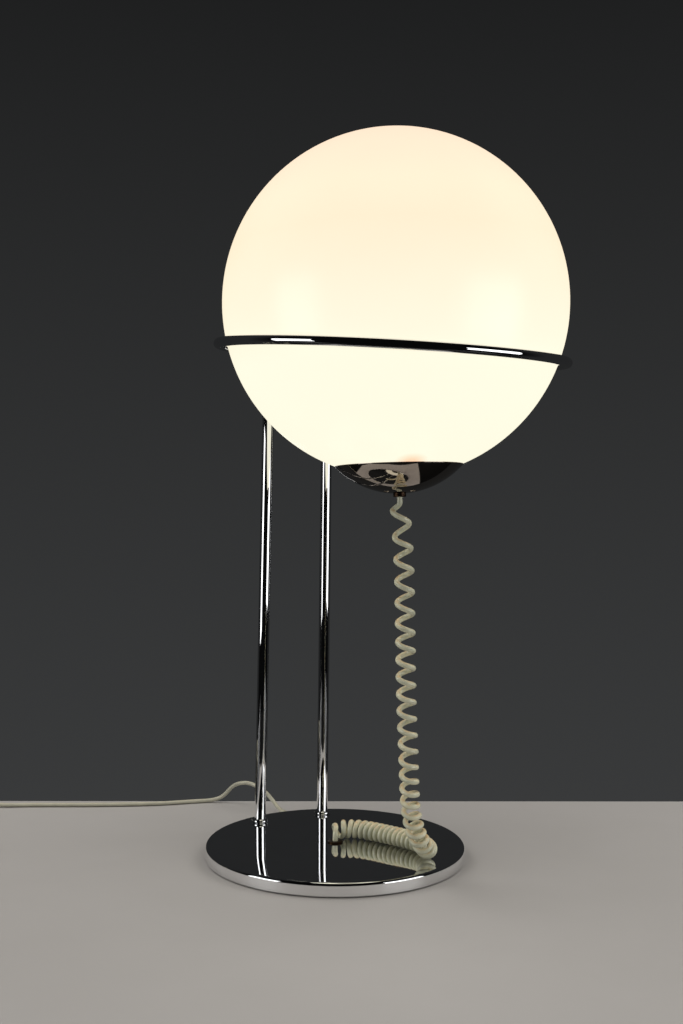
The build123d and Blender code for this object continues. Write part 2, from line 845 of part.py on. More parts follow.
# ---- lampholder ----
holder_bore = holder_radius - holder_wall
holder_top = holder_seat + holder_height
insert_seat = holder_seat + holder_floor + holder_wiring_space
with BuildPart() as lampholder_body:
    with BuildSketch(globe_plane.offset(holder_seat)):
        Circle(holder_radius)
    extrude(amount=holder_height)
    fillet(lampholder_body.edges().sort_by(globe_axis)[0], holder_round)
    with BuildSketch(globe_plane.offset(holder_seat + holder_floor)):
        Circle(holder_bore)
    extrude(amount=holder_height, mode=Mode.SUBTRACT)
    with BuildSketch(globe_plane.offset(holder_seat - past)):
        Circle(nipple_radius + fit)
    extrude(amount=holder_floor + 2 * past, mode=Mode.SUBTRACT)
save(lampholder_body, "lampholder_body")

with BuildPart() as lampholder_insert:
    with BuildSketch(globe_plane.offset(insert_seat)):
        Circle(holder_bore - fit / 2)
    extrude(amount=insert_thickness)
save(lampholder_insert, "lampholder_insert")

shell_seat = insert_seat + insert_thickness
with BuildPart() as thread_shell:
    with BuildSketch(profile_plane):
        with Locations((thread_shell_radius - thread_shell_wall, shell_seat)):
            Rectangle(
                thread_shell_wall, thread_shell_length, align=(Align.MIN, Align.MIN)
            )
        for turn in range(shell_thread_turns):
            thread_height = shell_seat + thread_start + thread_pitch * turn
            with Locations((thread_shell_radius - fit, thread_height)):
                Circle(thread_shell_wall)
        with Locations((thread_shell_radius - thread_shell_wall, 0)):
            Rectangle(
                thread_shell_radius / 2,
                4 * globe_radius,
                align=(Align.MAX, Align.CENTER),
                mode=Mode.SUBTRACT,
            )
    revolve(axis=globe_axis)
save(thread_shell, "thread_shell")

with BuildPart() as centre_contact:
    with BuildSketch(profile_plane):
        with BuildLine():
            Polyline(
                (-contact_start, shell_seat + contact_thickness / 2),
                (-contact_step, shell_seat + contact_thickness / 2),
                (-contact_top, shell_seat + contact_rise - contact_thickness / 2),
                (contact_end, shell_seat + contact_rise - contact_thickness / 2),
            )
        trace(line_width=contact_thickness)
    extrude(amount=contact_width / 2, both=True)
save(centre_contact, "centre_contact")

# ---- bulb ----
bulb_foot = shell_seat + contact_rise + fit
bulb_cap_foot = bulb_foot + bulb_contact_height
bulb_cap_top = bulb_cap_foot + bulb_cap_length
with BuildPart() as bulb_contact:
    with BuildSketch(globe_plane.offset(bulb_foot)):
        Circle(bulb_contact_tip)
    with BuildSketch(globe_plane.offset(bulb_cap_foot)):
        Circle(bulb_contact_root)
    loft()
save(bulb_contact, "bulb_contact")

neck_reach = bulb_cap_radius - bulb_cap_wall
with BuildPart() as bulb_cap:
    with BuildSketch(profile_plane):
        with BuildLine():
            Polyline(
                (0, bulb_cap_foot),
                (bulb_contact_root, bulb_cap_foot),
                (neck_reach, bulb_cap_foot + contact_rise),
                (neck_reach, bulb_cap_top),
                (0, bulb_cap_top),
                close=True,
            )
        make_face()
        for turn in range(bulb_thread_turns):
            thread_height = bulb_cap_foot + thread_start + past + thread_pitch * turn
            with Locations((neck_reach, thread_height)):
                Circle(bulb_cap_wall)
    revolve(axis=globe_axis)
save(bulb_cap, "bulb_cap")

bulb_middle = bulb_cap_top + bulb_length - bulb_radius
with BuildPart() as bulb_glass:
    with BuildSketch(profile_plane):
        with BuildLine():
            head = CenterArc((0, bulb_middle), bulb_radius, -35, 125)
            neck = Line((neck_reach, bulb_cap_top), (neck_reach, bulb_cap_top + bulb_neck))
            TangentArc(neck @ 1, head @ 0, tangent=neck % 1)
            Line(head @ 1, (0, bulb_cap_top))
            Line((0, bulb_cap_top), (neck_reach, bulb_cap_top))
        make_face()
        mirror(about=Plane.YZ)
        offset(amount=-bulb_wall, mode=Mode.SUBTRACT)
        Rectangle(
            4 * bulb_radius, 8 * globe_radius, align=(Align.MAX, Align.CENTER), mode=Mode.SUBTRACT
        )
    revolve(axis=globe_axis)
save(bulb_glass, "bulb_glass")

# ---- swivelling cord bush, the visible gland under the cap ----
bush_top_face = cap_bottom - nipple_flange - fit
bush_face = bush_top_face - bush_height
cord_seat = bush_face + cord_seat_depth
clip_seat = nipple_top + fit
spigot_top = clip_seat + clip_thickness + bush_collar
with BuildPart() as cord_bush:
    with BuildSketch(globe_plane.offset(bush_face)):
        Circle(nipple_flange_radius)
    extrude(amount=bush_height)
    fillet(cord_bush.edges().sort_by(globe_axis)[0], bush_round)
    with BuildSketch(globe_plane.offset(bush_face)):
        Circle(bush_spigot_radius)
    extrude(amount=spigot_top - bush_face)
    with BuildSketch(globe_plane.offset(bush_face - past)):
        Circle(curly_wire / 2 + fit)
    extrude(amount=cord_seat_depth + past, mode=Mode.SUBTRACT)
    with BuildSketch(globe_plane.offset(bush_face)):
        Circle(core_spread + core_radius + fit)
    extrude(amount=spigot_top - bush_face + past, mode=Mode.SUBTRACT)
    with BuildSketch(globe_plane.offset(clip_seat)):
        Circle(bush_spigot_radius + past)
        Circle(bush_spigot_radius - clip_groove, mode=Mode.SUBTRACT)
    extrude(amount=clip_thickness + fit, mode=Mode.SUBTRACT)
save(cord_bush, "cord_bush")

with BuildPart() as bush_clip:
    with BuildSketch(globe_plane.offset(clip_seat)):
        Circle(clip_radius)
        Circle(bush_spigot_radius - clip_groove + fit / 2, mode=Mode.SUBTRACT)
        with Locations((clip_radius, 0)):
            Rectangle(clip_radius, clip_mouth, mode=Mode.SUBTRACT)
    extrude(amount=clip_thickness)
save(bush_clip, "bush_clip")

with BuildPart() as lamp_cores:
    with BuildSketch(globe_plane.offset(cord_seat)):
        with Locations((-core_spread, 0), (core_spread, 0)):
            Circle(core_radius)
    extrude(amount=insert_seat - cord_seat)
save(lamp_cores, "lamp_cores")


# ================= cords =================
def spline_points(places, step):
    """Points along the smooth curve that a list of route places steers, about a step apart."""
    places = [Vector(*p) for p in places]
    last = len(places) - 2
    points = [places[0]]
    for i in range(1, len(places) - 1):
        start = places[0] if i == 1 else (places[i - 1] + places[i]) * 0.5
        end = places[-1] if i == last else (places[i] + places[i + 1]) * 0.5
        count = max(2, round((end - start).length / step))
        for k in range(1, count + 1):
            t = k / count
            points.append(
                start * (1 - t) ** 2 + places[i] * (2 * t * (1 - t)) + end * t**2
            )
    return points


def arc_middle(start, end, tangent):
    """The middle of the arc that leaves start along tangent and reaches end."""
    chord = end - start
    angle = math.radians(chord.get_angle(tangent))
    if angle < 1e-6:
        return start + chord * 0.5
    side = (tangent - chord.normalized() * tangent.dot(chord.normalized())).normalized()
    return start + chord * 0.5 + side * (chord.length / 2 * math.tan(angle / 2))


def biarc(start, start_tangent, end, end_tangent):
    """Two arcs that join two places and are tangent to the direction at each."""
    chord = end - start
    both = start_tangent + end_tangent
    spread = 2 * (1 - start_tangent.dot(end_tangent))
    along = chord.dot(both)
    if spread < 1e-9:
        reach = chord.dot(chord) / (2 * along)
    else:
        reach = (math.sqrt(along**2 + spread * chord.dot(chord)) - along) / spread
    joint = (start + end + (start_tangent - end_tangent) * reach) * 0.5
    second_tangent = (end - end_tangent * reach - joint).normalized()
    return [
        ThreePointArc(start, arc_middle(start, joint, start_tangent), joint, mode=Mode.PRIVATE),
        ThreePointArc(joint, arc_middle(joint, end, second_tangent), end, mode=Mode.PRIVATE),
    ]


def wound_tube(stations, radius, first=None, last=None):
    """Sweep a tube through places and directions, with a straight end at each given place."""
    edges = []
    if first is not None:
        edges.append(Line(first, stations[0][0], mode=Mode.PRIVATE))
    for (a, ta), (b, tb) in zip(stations, stations[1:]):
        edges += biarc(a, ta, b, tb)
    if last is not None:
        edges.append(Line(stations[-1][0], last, mode=Mode.PRIVATE))
    path = Wire(edges)
    with BuildPart() as tube:
        with BuildSketch(Plane(origin=path @ 0, z_dir=path % 0)):
            Circle(radius)
        sweep(path=path)
    return tube, path


def least_gap(path, diameter, apart):
    """The least clear gap between stretches of one tube that lie further apart along it."""
    count = int(path.length / (diameter * 0.35))
    points = [path @ (i / count) for i in range(count + 1)]
    skip = math.ceil(apart / (path.length / count))
    least = math.inf
    for i, a in enumerate(points):
        for b in points[i + skip :]:
            if abs(a.X - b.X) + abs(a.Y - b.Y) + abs(a.Z - b.Z) < least * 1.8:
                least = min(least, (a - b).length)
    return least - diameter


# ---- curly cord: the line that its curls go round, from the bush to the base ----
curl_radius = (curl_outer_diameter - curly_wire) / 2
cord_start = globe_centre + globe_up * cord_seat
cord_out = globe_centre + globe_up * (bush_face - curly_wire)
curl_height = base_height + curl_outer_diameter / 2 + 0.3
curl_route = [
    (cord_out.X, cord_out.Y, cord_out.Z),
    (1, -117, 327),
    (4, -118, 290),
    (6, -118, 221),
    (8, -117, 168),
    (12, -115, 120),
    (16, -110.6, 84),
    (21.3, -105.7, 60),
    (29.7, -102.5, 40),
    (41, -97.3, 27),
    (51.5, -86, curl_height),
    (54.7, -69, curl_height),
    (51.3, -56.7, curl_height),
    (47, -43, curl_height),
    (40, -27, curl_height),
    (32, -10, curl_height),
    (23, 3, curl_height + 0.8),
    (12, 8, curl_height + 2),
    (-1.2, 6.6, curl_height + 2),
]
# Distance from one curl to the next, against the distance along the line: wide where the
# cord hangs from the globe and closing up towards the base.
curl_pitches = [
    (0, 25.0),
    (28, 22.5),
    (40, 19.6),
    (95, 18.3),
    (130, 15.2),
    (220, 13.9),
    (250, 12.0),
    (262, 10.8),
    (285, 9.6),
    (312, 8.8),
    (330, 9.6),
    (355, 9.6),
    (372, 6.3),
    (405, 6.3),
    (440, 8.0),
    (480, 9.2),
]
first_curl = 6.0
front_side = Vector(-0.4425, -0.8966, 0)


def pitch_at(distance):
    """The curls' pitch at a distance along their line."""
    for (s0, p0), (s1, p1) in zip(curl_pitches, curl_pitches[1:]):
        if distance <= s1:
            return p0 + (p1 - p0) * (distance - s0) / (s1 - s0)
    return curl_pitches[-1][1]


# Walk down the line, carrying a frame that doesn't twist and the curl's turned angle.
line_points = spline_points(curl_route, 0.5)
walk = []
along = (line_points[1] - line_points[0]).normalized()
near = (front_side - along * front_side.dot(along)).normalized()
distance = 0.0
angle = 0.0
for i, point in enumerate(line_points):
    if i:
        step = point - line_points[i - 1]
        distance += step.length
        angle += step.length / pitch_at(distance)
        forward = step.normalized()
        near = (near - forward * near.dot(forward)).normalized()
        along = forward
    walk.append((distance, angle, point, near, along.cross(near)))


def curl_place(turns):
    """A place on the curls after a number of turns, counted from the bush."""
    for (s0, a0, p0, n0, l0), (s1, a1, p1, n1, l1) in zip(walk, walk[1:]):
        if turns <= a1:
            break
    share = (turns - a0) / (a1 - a0)
    phase = math.tau * (turns - first_turn)
    centre = p0 + (p1 - p0) * share
    near_dir = n0 + (n1 - n0) * share
    left_dir = l0 + (l1 - l0) * share
    return centre + (left_dir * math.cos(phase) + near_dir * math.sin(phase)) * curl_radius


# The first curl is at the left, and the last one ends at its top, over the grommet.
first_turn = next(a for s, a, _, _, _ in walk if s >= first_curl)
last_top = walk[-1][1]
while curl_place(last_top - 0.002).Z <= curl_place(last_top).Z:
    last_top -= 0.002
while curl_place(last_top - 0.002).Z > curl_place(last_top).Z:
    last_top -= 0.002
turn_count = last_top - first_turn
stations = [(cord_out, -globe_up)]
steps = round(turn_count * 2)
for k in range(steps + 1):
    turns = first_turn + turn_count * k / steps
    if k == steps:
        tangent = curl_place(turns) - curl_place(turns - 0.004)
    else:
        tangent = curl_place(turns + 0.002) - curl_place(turns - 0.002)
    stations.append((curl_place(turns), tangent.normalized()))
grommet_top = base_height + grommet_flange
stations.append((Vector(0, 0, grommet_top + curly_wire), Vector(0, 0, -1)))
curly_cord, curl_path = wound_tube(
    stations, curly_wire / 2, first=cord_start, last=Vector(0, 0, cord_end_height)
)
print(f"curly cord: {turn_count:.1f} curls, wire {curl_path.length:.0f} mm long")
print(f"curly cord: least gap to itself {least_gap(curl_path, curly_wire, 18):.2f} mm")
save(curly_cord, "curly_cord")


# ---- mains lead ----
def route_radii(places):
    """Each corner's radius: 0.45 of its shorter run over the tangent of half its turn."""
    places = [Vector(*p) for p in places]
    radii = []
    for a, b, c in zip(places, places[1:], places[2:]):
        turn = math.radians((b - a).get_angle(c - b))
        radii.append(0.45 * min((b - a).length, (c - b).length) / math.tan(turn / 2))
    return radii


def cord_tube(places, diameter, name):
    """A free stretch of cord as straight runs joined by tangent arcs."""
    radii = route_radii(places)
    print(f"{name}: least bend {min(radii):.0f} mm, radii {[round(r) for r in radii]}")
    with BuildPart() as tube:
        with BuildLine() as route:
            FilletPolyline(*places, radius=radii)
        path = route.wire()
        with BuildSketch(Plane(origin=path @ 0, z_dir=path % 0)):
            Circle(diameter / 2)
        sweep(path=path)
    ideal = math.pi * diameter**2 / 4 * path.length
    print(f"{name}: {path.length:.0f} mm long, volume share {tube.part.volume / ideal:.4f}")
    save(tube, name)
    return path.length


# ---- put-away coil: in and out again in two layers ----
coil_centre = Vector(*coil_place, coil_lift + lead_diameter / 2)
coil_slant = math.degrees(math.atan(coil_pitch / (math.tau * coil_outer_radius)))
coil_whole_turns = coil_turns + 2 * coil_slant / 360
coil_layer_turns = (coil_whole_turns - 0.5) / 2
coil_inner_radius = coil_outer_radius - coil_pitch * coil_layer_turns


def coil_spot(turns):
    """A place on the coil after a number of turns from its outer start."""
    back = turns - coil_layer_turns - 0.5
    if turns <= coil_layer_turns:
        radius = coil_outer_radius - coil_pitch * turns
        rise = 0.0
    elif back >= 0:
        radius = coil_inner_radius + coil_pitch * back
        rise = 1.0
    else:
        share = (turns - coil_layer_turns) / 0.5
        radius = coil_inner_radius - coil_pitch * 0.5 * share * (1 - share)
        rise = share**2 * (3 - 2 * share)
    turned = math.radians(180 - coil_slant + 360 * turns)
    around = Vector(math.cos(turned), math.sin(turned)) * radius
    return coil_centre + around + Vector(0, 0, coil_layer_step * rise)


coil_stations = []
coil_steps = round(coil_whole_turns * 4)
for k in range(coil_steps + 1):
    turns = coil_whole_turns * k / coil_steps
    tangent = coil_spot(turns + 0.001) - coil_spot(turns - 0.001)
    coil_stations.append((coil_spot(turns), tangent.normalized()))
coil_in = coil_stations[0][0] - coil_stations[0][1] * lead_diameter
coil_out = coil_stations[-1][0] + coil_stations[-1][1] * lead_diameter
lead_coil, coil_path = wound_tube(coil_stations, lead_diameter / 2, first=coil_in, last=coil_out)
print(f"lead coil: {coil_whole_turns:.2f} turns, {coil_path.length:.0f} mm long")
print(f"lead coil: least gap to itself {least_gap(coil_path, lead_diameter, 60):.2f} mm")
save(lead_coil, "lead_coil")

coil_angle_plane = Plane(origin=coil_centre, x_dir=(1, 0, 0), z_dir=(0, 1, 0))
tie_low = -lead_diameter / 2 - fit
tie_high = lead_diameter / 2 + coil_layer_step + fit
tie_inner = coil_inner_radius - lead_diameter / 2 - 2 * tie_wall
tie_outer = coil_outer_radius + lead_diameter / 2 + pad_clearance
with BuildPart() as coil_tie:
    with BuildSketch(coil_angle_plane):
        with Locations(((tie_inner + tie_outer) / 2, -(tie_low + tie_high) / 2)):
            RectangleRounded(
                tie_outer - tie_inner + 2 * tie_wall,
                tie_high - tie_low + 2 * tie_wall,
                tie_corner,
            )
            RectangleRounded(
                tie_outer - tie_inner,
                tie_high - tie_low,
                tie_corner - tie_wall,
                mode=Mode.SUBTRACT,
            )
    extrude(amount=tie_width / 2, both=True)
save(coil_tie, "coil_tie")

# ---- the lead's free stretches ----
lead_on_floor = lead_diameter / 2
lead_out = exit_plane.origin + exit_plane.z_dir * relief_length
bend_up = lead_out + exit_plane.z_dir * lead_straight
switch_plane = Plane(
    origin=switch_place,
    x_dir=Vector(1, 0).rotate(Axis.Z, switch_heading),
    z_dir=(0, 0, 1),
)
switch_cord_end = switch_length / 2 - switch_cord_depth
switch_in = switch_plane.from_local_coords(Vector(-switch_cord_end, 0, switch_cord_height))
switch_out = switch_plane.from_local_coords(Vector(switch_cord_end, 0, switch_cord_height))
switch_cord_bend = switch_length / 2 + switch_cord_run
bend_in = switch_plane.from_local_coords(Vector(-switch_cord_bend, 0, switch_cord_height))
bend_out = switch_plane.from_local_coords(Vector(switch_cord_bend, 0, switch_cord_height))
plug_cord_end = plug_place[1] - plug_sleeve_length - plug_cord_depth
mains_route = [
    (lead_out.X, lead_out.Y, lead_out.Z),
    (bend_up.X, bend_up.Y, bend_up.Z),
    (12.9, 168, 11.5),
    (9, 179, 20),
    (-1, 197, 29.5),
    (-12, 214, 19),
    (-20, 225, 7.5),
    (-33, 233, lead_on_floor),
    (-52, 239.5, lead_on_floor),
    (-84, 246, lead_on_floor),
    (-122, 260, lead_on_floor),
    (-167, 280, lead_on_floor),
    (-211, 302, lead_on_floor),
    (-241, 313.6, 2.2),
    (bend_in.X, bend_in.Y, bend_in.Z),
    (switch_in.X, switch_in.Y, switch_in.Z),
]
stretch_route = [
    (switch_out.X, switch_out.Y, switch_out.Z),
    (bend_out.X, bend_out.Y, bend_out.Z),
    (-372, 367.5, 2.4),
    (-392, 353, 2.4),
    (coil_in.X, 330, 2.5),
    (coil_in.X, 308, coil_in.Z),
    (coil_in.X, coil_in.Y, coil_in.Z),
]
end_route = [
    (coil_out.X, coil_out.Y, coil_out.Z),
    (-343, coil_out.Y, coil_out.Z),
    (-327, 236, 6.6),
    (plug_place[0], 217, plug_height / 2),
    (plug_place[0], plug_cord_end, plug_height / 2),
]
lead_total = lead_inner_length + relief_length + coil_path.length
lead_total += cord_tube(mains_route, lead_diameter, "mains_lead")
lead_total += cord_tube(stretch_route, lead_diameter, "lead_stretch")
lead_total += cord_tube(end_route, lead_diameter, "lead_end")
print(f"mains lead in all: {lead_total / 1000:.2f} m")


# ================= in-line switch =================
switch_screw_span = switch_length - 2 * switch_screw_inset
switch_head_foot = switch_wall / 2 - fit
switch_head_top = switch_head_foot + switch_head_height
with BuildPart() as switch_base:
    with BuildSketch(switch_plane):
        RectangleRounded(switch_length, switch_width, switch_width * 0.3)
    extrude(amount=switch_cord_height)
    with BuildSketch(switch_plane.offset(switch_wall)):
        RectangleRounded(
            switch_length - 4 * switch_wall, switch_width - 2 * switch_wall, switch_width * 0.25
        )
    extrude(amount=switch_height, mode=Mode.SUBTRACT)
    with Locations(switch_plane.offset(switch_wall)):
        with GridLocations(switch_screw_span, switch_screw_rows, 2, 2):
            Cylinder(
                switch_post_radius, switch_cord_height - switch_wall,
                align=(Align.CENTER, Align.CENTER, Align.MIN),
            )
    with Locations(switch_plane):
        with GridLocations(switch_screw_span, switch_screw_rows, 2, 2):
            Cylinder(
                switch_post_radius - past, 2 * switch_height,
                align=(Align.CENTER, Align.CENTER, Align.CENTER), mode=Mode.SUBTRACT,
            )
            Cylinder(
                switch_screw_head + fit, switch_head_top + fit,
                align=(Align.CENTER, Align.CENTER, Align.MIN), mode=Mode.SUBTRACT,
            )
    with Locations(switch_plane.offset(switch_cord_height)):
        Cylinder(
            lead_diameter / 2 + fit, 2 * switch_length, rotation=(0, 90, 0), mode=Mode.SUBTRACT
        )
save(switch_base, "switch_base")

rocker_hole_length = rocker_length + 2 * rocker_end_room
rocker_hole_width = rocker_width + 2 * rocker_side_room
with BuildPart() as switch_cover:
    with BuildSketch(switch_plane.offset(switch_cord_height)):
        RectangleRounded(switch_length, switch_width, switch_width * 0.3)
    extrude(amount=switch_height - switch_cord_height)
    fillet(switch_cover.edges().group_by(Axis.Z)[-1], switch_round)
    with BuildSketch(switch_plane.offset(switch_cord_height)):
        RectangleRounded(
            switch_length - 4 * switch_wall, switch_width - 2 * switch_wall, switch_width * 0.25
        )
    extrude(amount=switch_height - switch_cord_height - switch_wall, mode=Mode.SUBTRACT)
    with BuildSketch(switch_plane):
        RectangleRounded(rocker_hole_length, rocker_hole_width, 1.5)
    extrude(amount=2 * switch_height, mode=Mode.SUBTRACT)
    with BuildSketch(switch_plane.offset(rocker_axis_height - rocker_belly)):
        for side in (-1, 1):
            with Locations((0, side * (rocker_hole_width + cheek_thickness) / 2)):
                Rectangle(cheek_width, cheek_thickness)
    extrude(amount=switch_height - switch_wall / 2 - rocker_axis_height + rocker_belly)
    with Locations(switch_plane.offset(switch_cord_height)):
        with GridLocations(switch_screw_span, switch_screw_rows, 2, 2):
            Cylinder(
                switch_post_radius, switch_height - switch_cord_height - switch_wall,
                align=(Align.CENTER, Align.CENTER, Align.MIN),
            )
            Cylinder(
                switch_screw_radius + fit, switch_pilot_depth,
                align=(Align.CENTER, Align.CENTER, Align.MIN), mode=Mode.SUBTRACT,
            )
    with Locations(switch_plane.offset(rocker_axis_height)):
        Cylinder(
            rocker_pin_radius + rocker_pin_fit,
            rocker_hole_width + 2 * cheek_thickness + past,
            rotation=(90, 0, 0),
            mode=Mode.SUBTRACT,
        )
    with Locations(switch_plane.offset(switch_cord_height)):
        Cylinder(
            lead_diameter / 2 + fit, 2 * switch_length, rotation=(0, 90, 0), mode=Mode.SUBTRACT
        )
save(switch_cover, "switch_cover")

with BuildPart() as switch_screws:
    with Locations(switch_plane):
        with GridLocations(switch_screw_span, switch_screw_rows, 2, 2):
            with Locations((0, 0, switch_head_foot)):
                Cylinder(
                    switch_screw_head, switch_head_height,
                    align=(Align.CENTER, Align.CENTER, Align.MIN),
                )
                Box(
                    screw_slot, 3 * switch_screw_head, screw_slot,
                    align=(Align.CENTER, Align.CENTER, Align.MIN), mode=Mode.SUBTRACT,
                )
            with Locations((0, 0, switch_head_top)):
                Cylinder(
                    switch_screw_radius, switch_screw_length,
                    align=(Align.CENTER, Align.CENTER, Align.MIN),
                )
save(switch_screws, "switch_screws")

rocker_across = Vector(switch_plane.y_dir)
rocker_axis_place = switch_plane.from_local_coords(Vector(0, 0, rocker_axis_height))
rocker_x = switch_plane.x_dir.rotate(Axis((0, 0, 0), rocker_across), rocker_tilt)
rocker_plane = Plane(origin=rocker_axis_place, x_dir=rocker_x, z_dir=-rocker_across)
with BuildPart() as switch_rocker:
    with BuildSketch(rocker_plane):
        with BuildLine():
            Polyline(
                (-rocker_length / 2, rocker_end_rise),
                (0, rocker_middle_rise),
                (rocker_length / 2, rocker_end_rise),
                (rocker_length / 2, rocker_belly),
                (rocker_belly, -rocker_belly),
                (-rocker_belly, -rocker_belly),
                (-rocker_length / 2, rocker_belly),
                close=True,
            )
        make_face()
    extrude(amount=rocker_width / 2, both=True)
    with BuildSketch(rocker_plane):
        Circle(rocker_pin_radius)
    extrude(amount=rocker_hole_width / 2 + cheek_thickness - fit, both=True)
save(switch_rocker, "switch_rocker")

with BuildPart() as switch_contacts:
    for side in (-1, 1):
        with BuildSketch(switch_plane.offset(switch_wall)):
            with Locations((side * switch_contact_place, 0)):
                Rectangle(switch_contact_length, switch_contact_width)
        extrude(amount=switch_contact_thickness)
        with BuildSketch(switch_plane.offset(switch_wall + switch_contact_thickness)):
            with Locations((side * switch_button_place, 0)):
                Circle(switch_button_radius)
        extrude(amount=switch_button_height)
save(switch_contacts, "switch_contacts")


# ================= plug =================
plug_plane = Plane(
    origin=(plug_place[0], plug_place[1] - plug_sleeve_length, plug_height / 2),
    x_dir=(1, 0, 0),
    z_dir=(0, -1, 0),
)
with BuildPart() as plug_body:
    with BuildSketch(plug_plane):
        RectangleRounded(plug_nose_width, plug_nose_height, plug_corner)
    with BuildSketch(plug_plane.offset(plug_taper)):
        RectangleRounded(plug_width, plug_height, plug_corner)
    loft(ruled=True)
    with BuildSketch(plug_plane.offset(plug_taper)):
        RectangleRounded(plug_width, plug_height, plug_corner)
    extrude(amount=plug_length - plug_taper)
    with BuildSketch(plug_plane):
        Circle(lead_diameter / 2 + fit)
    extrude(amount=plug_cord_depth, mode=Mode.SUBTRACT)
    with BuildSketch(plug_plane.offset(plug_length)):
        with Locations((-plug_pin_spacing / 2, 0), (plug_pin_spacing / 2, 0)):
            Circle(plug_pin_radius)
    extrude(amount=-plug_pin_length / 2, mode=Mode.SUBTRACT)
save(plug_body, "plug_body")

with BuildPart() as plug_pins:
    for side in (-1, 1):
        with BuildSketch(plug_plane.offset(plug_length - plug_pin_length / 2)):
            with Locations((side * plug_pin_spacing / 2, 0)):
                Circle(plug_pin_radius)
        extrude(amount=plug_pin_length * 1.5)
    chamfer(plug_pins.edges().group_by(Axis.Y)[0], plug_pin_radius * 0.4)
save(plug_pins, "plug_pins")

with BuildPart() as plug_sleeve:
    with BuildSketch(plug_plane):
        Circle(lead_diameter / 2 + plug_sleeve_root_wall)
    with BuildSketch(plug_plane.offset(-plug_sleeve_length)):
        Circle(lead_diameter / 2 + relief_tip_wall)
    loft()
    with BuildSketch(plug_plane.offset(-2 * plug_sleeve_length)):
        Circle(lead_diameter / 2 + fit)
    extrude(amount=3 * plug_sleeve_length, mode=Mode.SUBTRACT)
save(plug_sleeve, "plug_sleeve")
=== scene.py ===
"""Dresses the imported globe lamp: an opal globe in a bent chromed hoop over a round mirror-bright base.

Lengths in the dataclasses are millimetres in the lamp's own frame: +Z up, -Y to the front, origin at the
middle of the base's underside. Meshes are made in metres. The cords' routes repeat the ones of the solids.
"""

import json
import logging
import math
from collections.abc import Iterable, Sequence
from dataclasses import dataclass, field
from enum import Enum
from typing import NamedTuple

import bmesh
import bpy
from mathutils import Matrix, Vector

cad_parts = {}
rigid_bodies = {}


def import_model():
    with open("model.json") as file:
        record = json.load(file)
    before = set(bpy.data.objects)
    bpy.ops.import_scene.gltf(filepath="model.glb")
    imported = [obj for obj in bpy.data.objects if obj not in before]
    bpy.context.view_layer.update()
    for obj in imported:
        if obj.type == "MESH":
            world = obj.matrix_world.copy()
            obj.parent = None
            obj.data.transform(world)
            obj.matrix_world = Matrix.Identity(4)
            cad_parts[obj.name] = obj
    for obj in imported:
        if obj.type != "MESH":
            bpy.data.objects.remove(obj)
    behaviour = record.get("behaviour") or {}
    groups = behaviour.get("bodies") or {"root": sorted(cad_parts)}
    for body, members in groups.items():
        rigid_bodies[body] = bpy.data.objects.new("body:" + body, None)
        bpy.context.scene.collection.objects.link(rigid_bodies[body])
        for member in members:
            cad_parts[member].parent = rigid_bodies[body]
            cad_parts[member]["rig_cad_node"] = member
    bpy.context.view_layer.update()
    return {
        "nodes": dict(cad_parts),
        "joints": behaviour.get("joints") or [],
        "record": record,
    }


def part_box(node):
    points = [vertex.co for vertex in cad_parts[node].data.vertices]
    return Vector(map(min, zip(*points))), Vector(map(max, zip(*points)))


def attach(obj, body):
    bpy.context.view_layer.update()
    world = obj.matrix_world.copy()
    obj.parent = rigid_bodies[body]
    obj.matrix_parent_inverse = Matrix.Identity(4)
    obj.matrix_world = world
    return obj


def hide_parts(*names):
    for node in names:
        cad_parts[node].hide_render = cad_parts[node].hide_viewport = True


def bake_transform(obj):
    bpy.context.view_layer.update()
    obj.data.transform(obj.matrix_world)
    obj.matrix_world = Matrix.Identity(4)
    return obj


MM = 0.001
WELD = 1e-6
UP = Vector((0, 0, 1))
Spot = tuple[float, float]
Place = tuple[float, float, float]
Colour = tuple[float, float, float]
log = logging.getLogger("globe_lamp")


# ---------------------------------------------------------------- places


def point(x: float, y: float, z: float) -> Vector:
    """A place given in millimetres, as a vector in metres."""
    return Vector((x, y, z)) * MM


def seat(origin: Vector, up: Vector, across: Vector | None = None) -> Matrix:
    """Build the placement of a piece that is modelled standing on its own origin.

    Args:
        origin: Where the piece's own origin goes, in metres.
        up: The direction that its own +Z takes.
        across: A direction near which its own +X lies. World +X where none is given.

    Returns:
        The matrix from the piece's own space to the lamp's.
    """
    z = up.normalized()
    x = across or Vector((1, 0, 0))
    x = (x - z * x.dot(z)).normalized()
    turn = Matrix((x, z.cross(x), z)).transposed().to_4x4()
    return Matrix.Translation(origin) @ turn


def arc(centre: Spot, radius: float, start: float, end: float, steps: int) -> list[Spot]:
    """List the places along an arc of a profile.

    Args:
        centre: The arc's centre, as distance from the axis and height.
        radius: The arc's radius.
        start: The angle at which it starts, in degrees from straight out.
        end: The angle at which it ends, in degrees.
        steps: How many equal stretches it has.

    Returns:
        steps + 1 pairs of distance from the axis and height.
    """
    turns = [math.radians(start + (end - start) * k / steps) for k in range(steps + 1)]
    return [(centre[0] + radius * math.cos(t), centre[1] + radius * math.sin(t)) for t in turns]


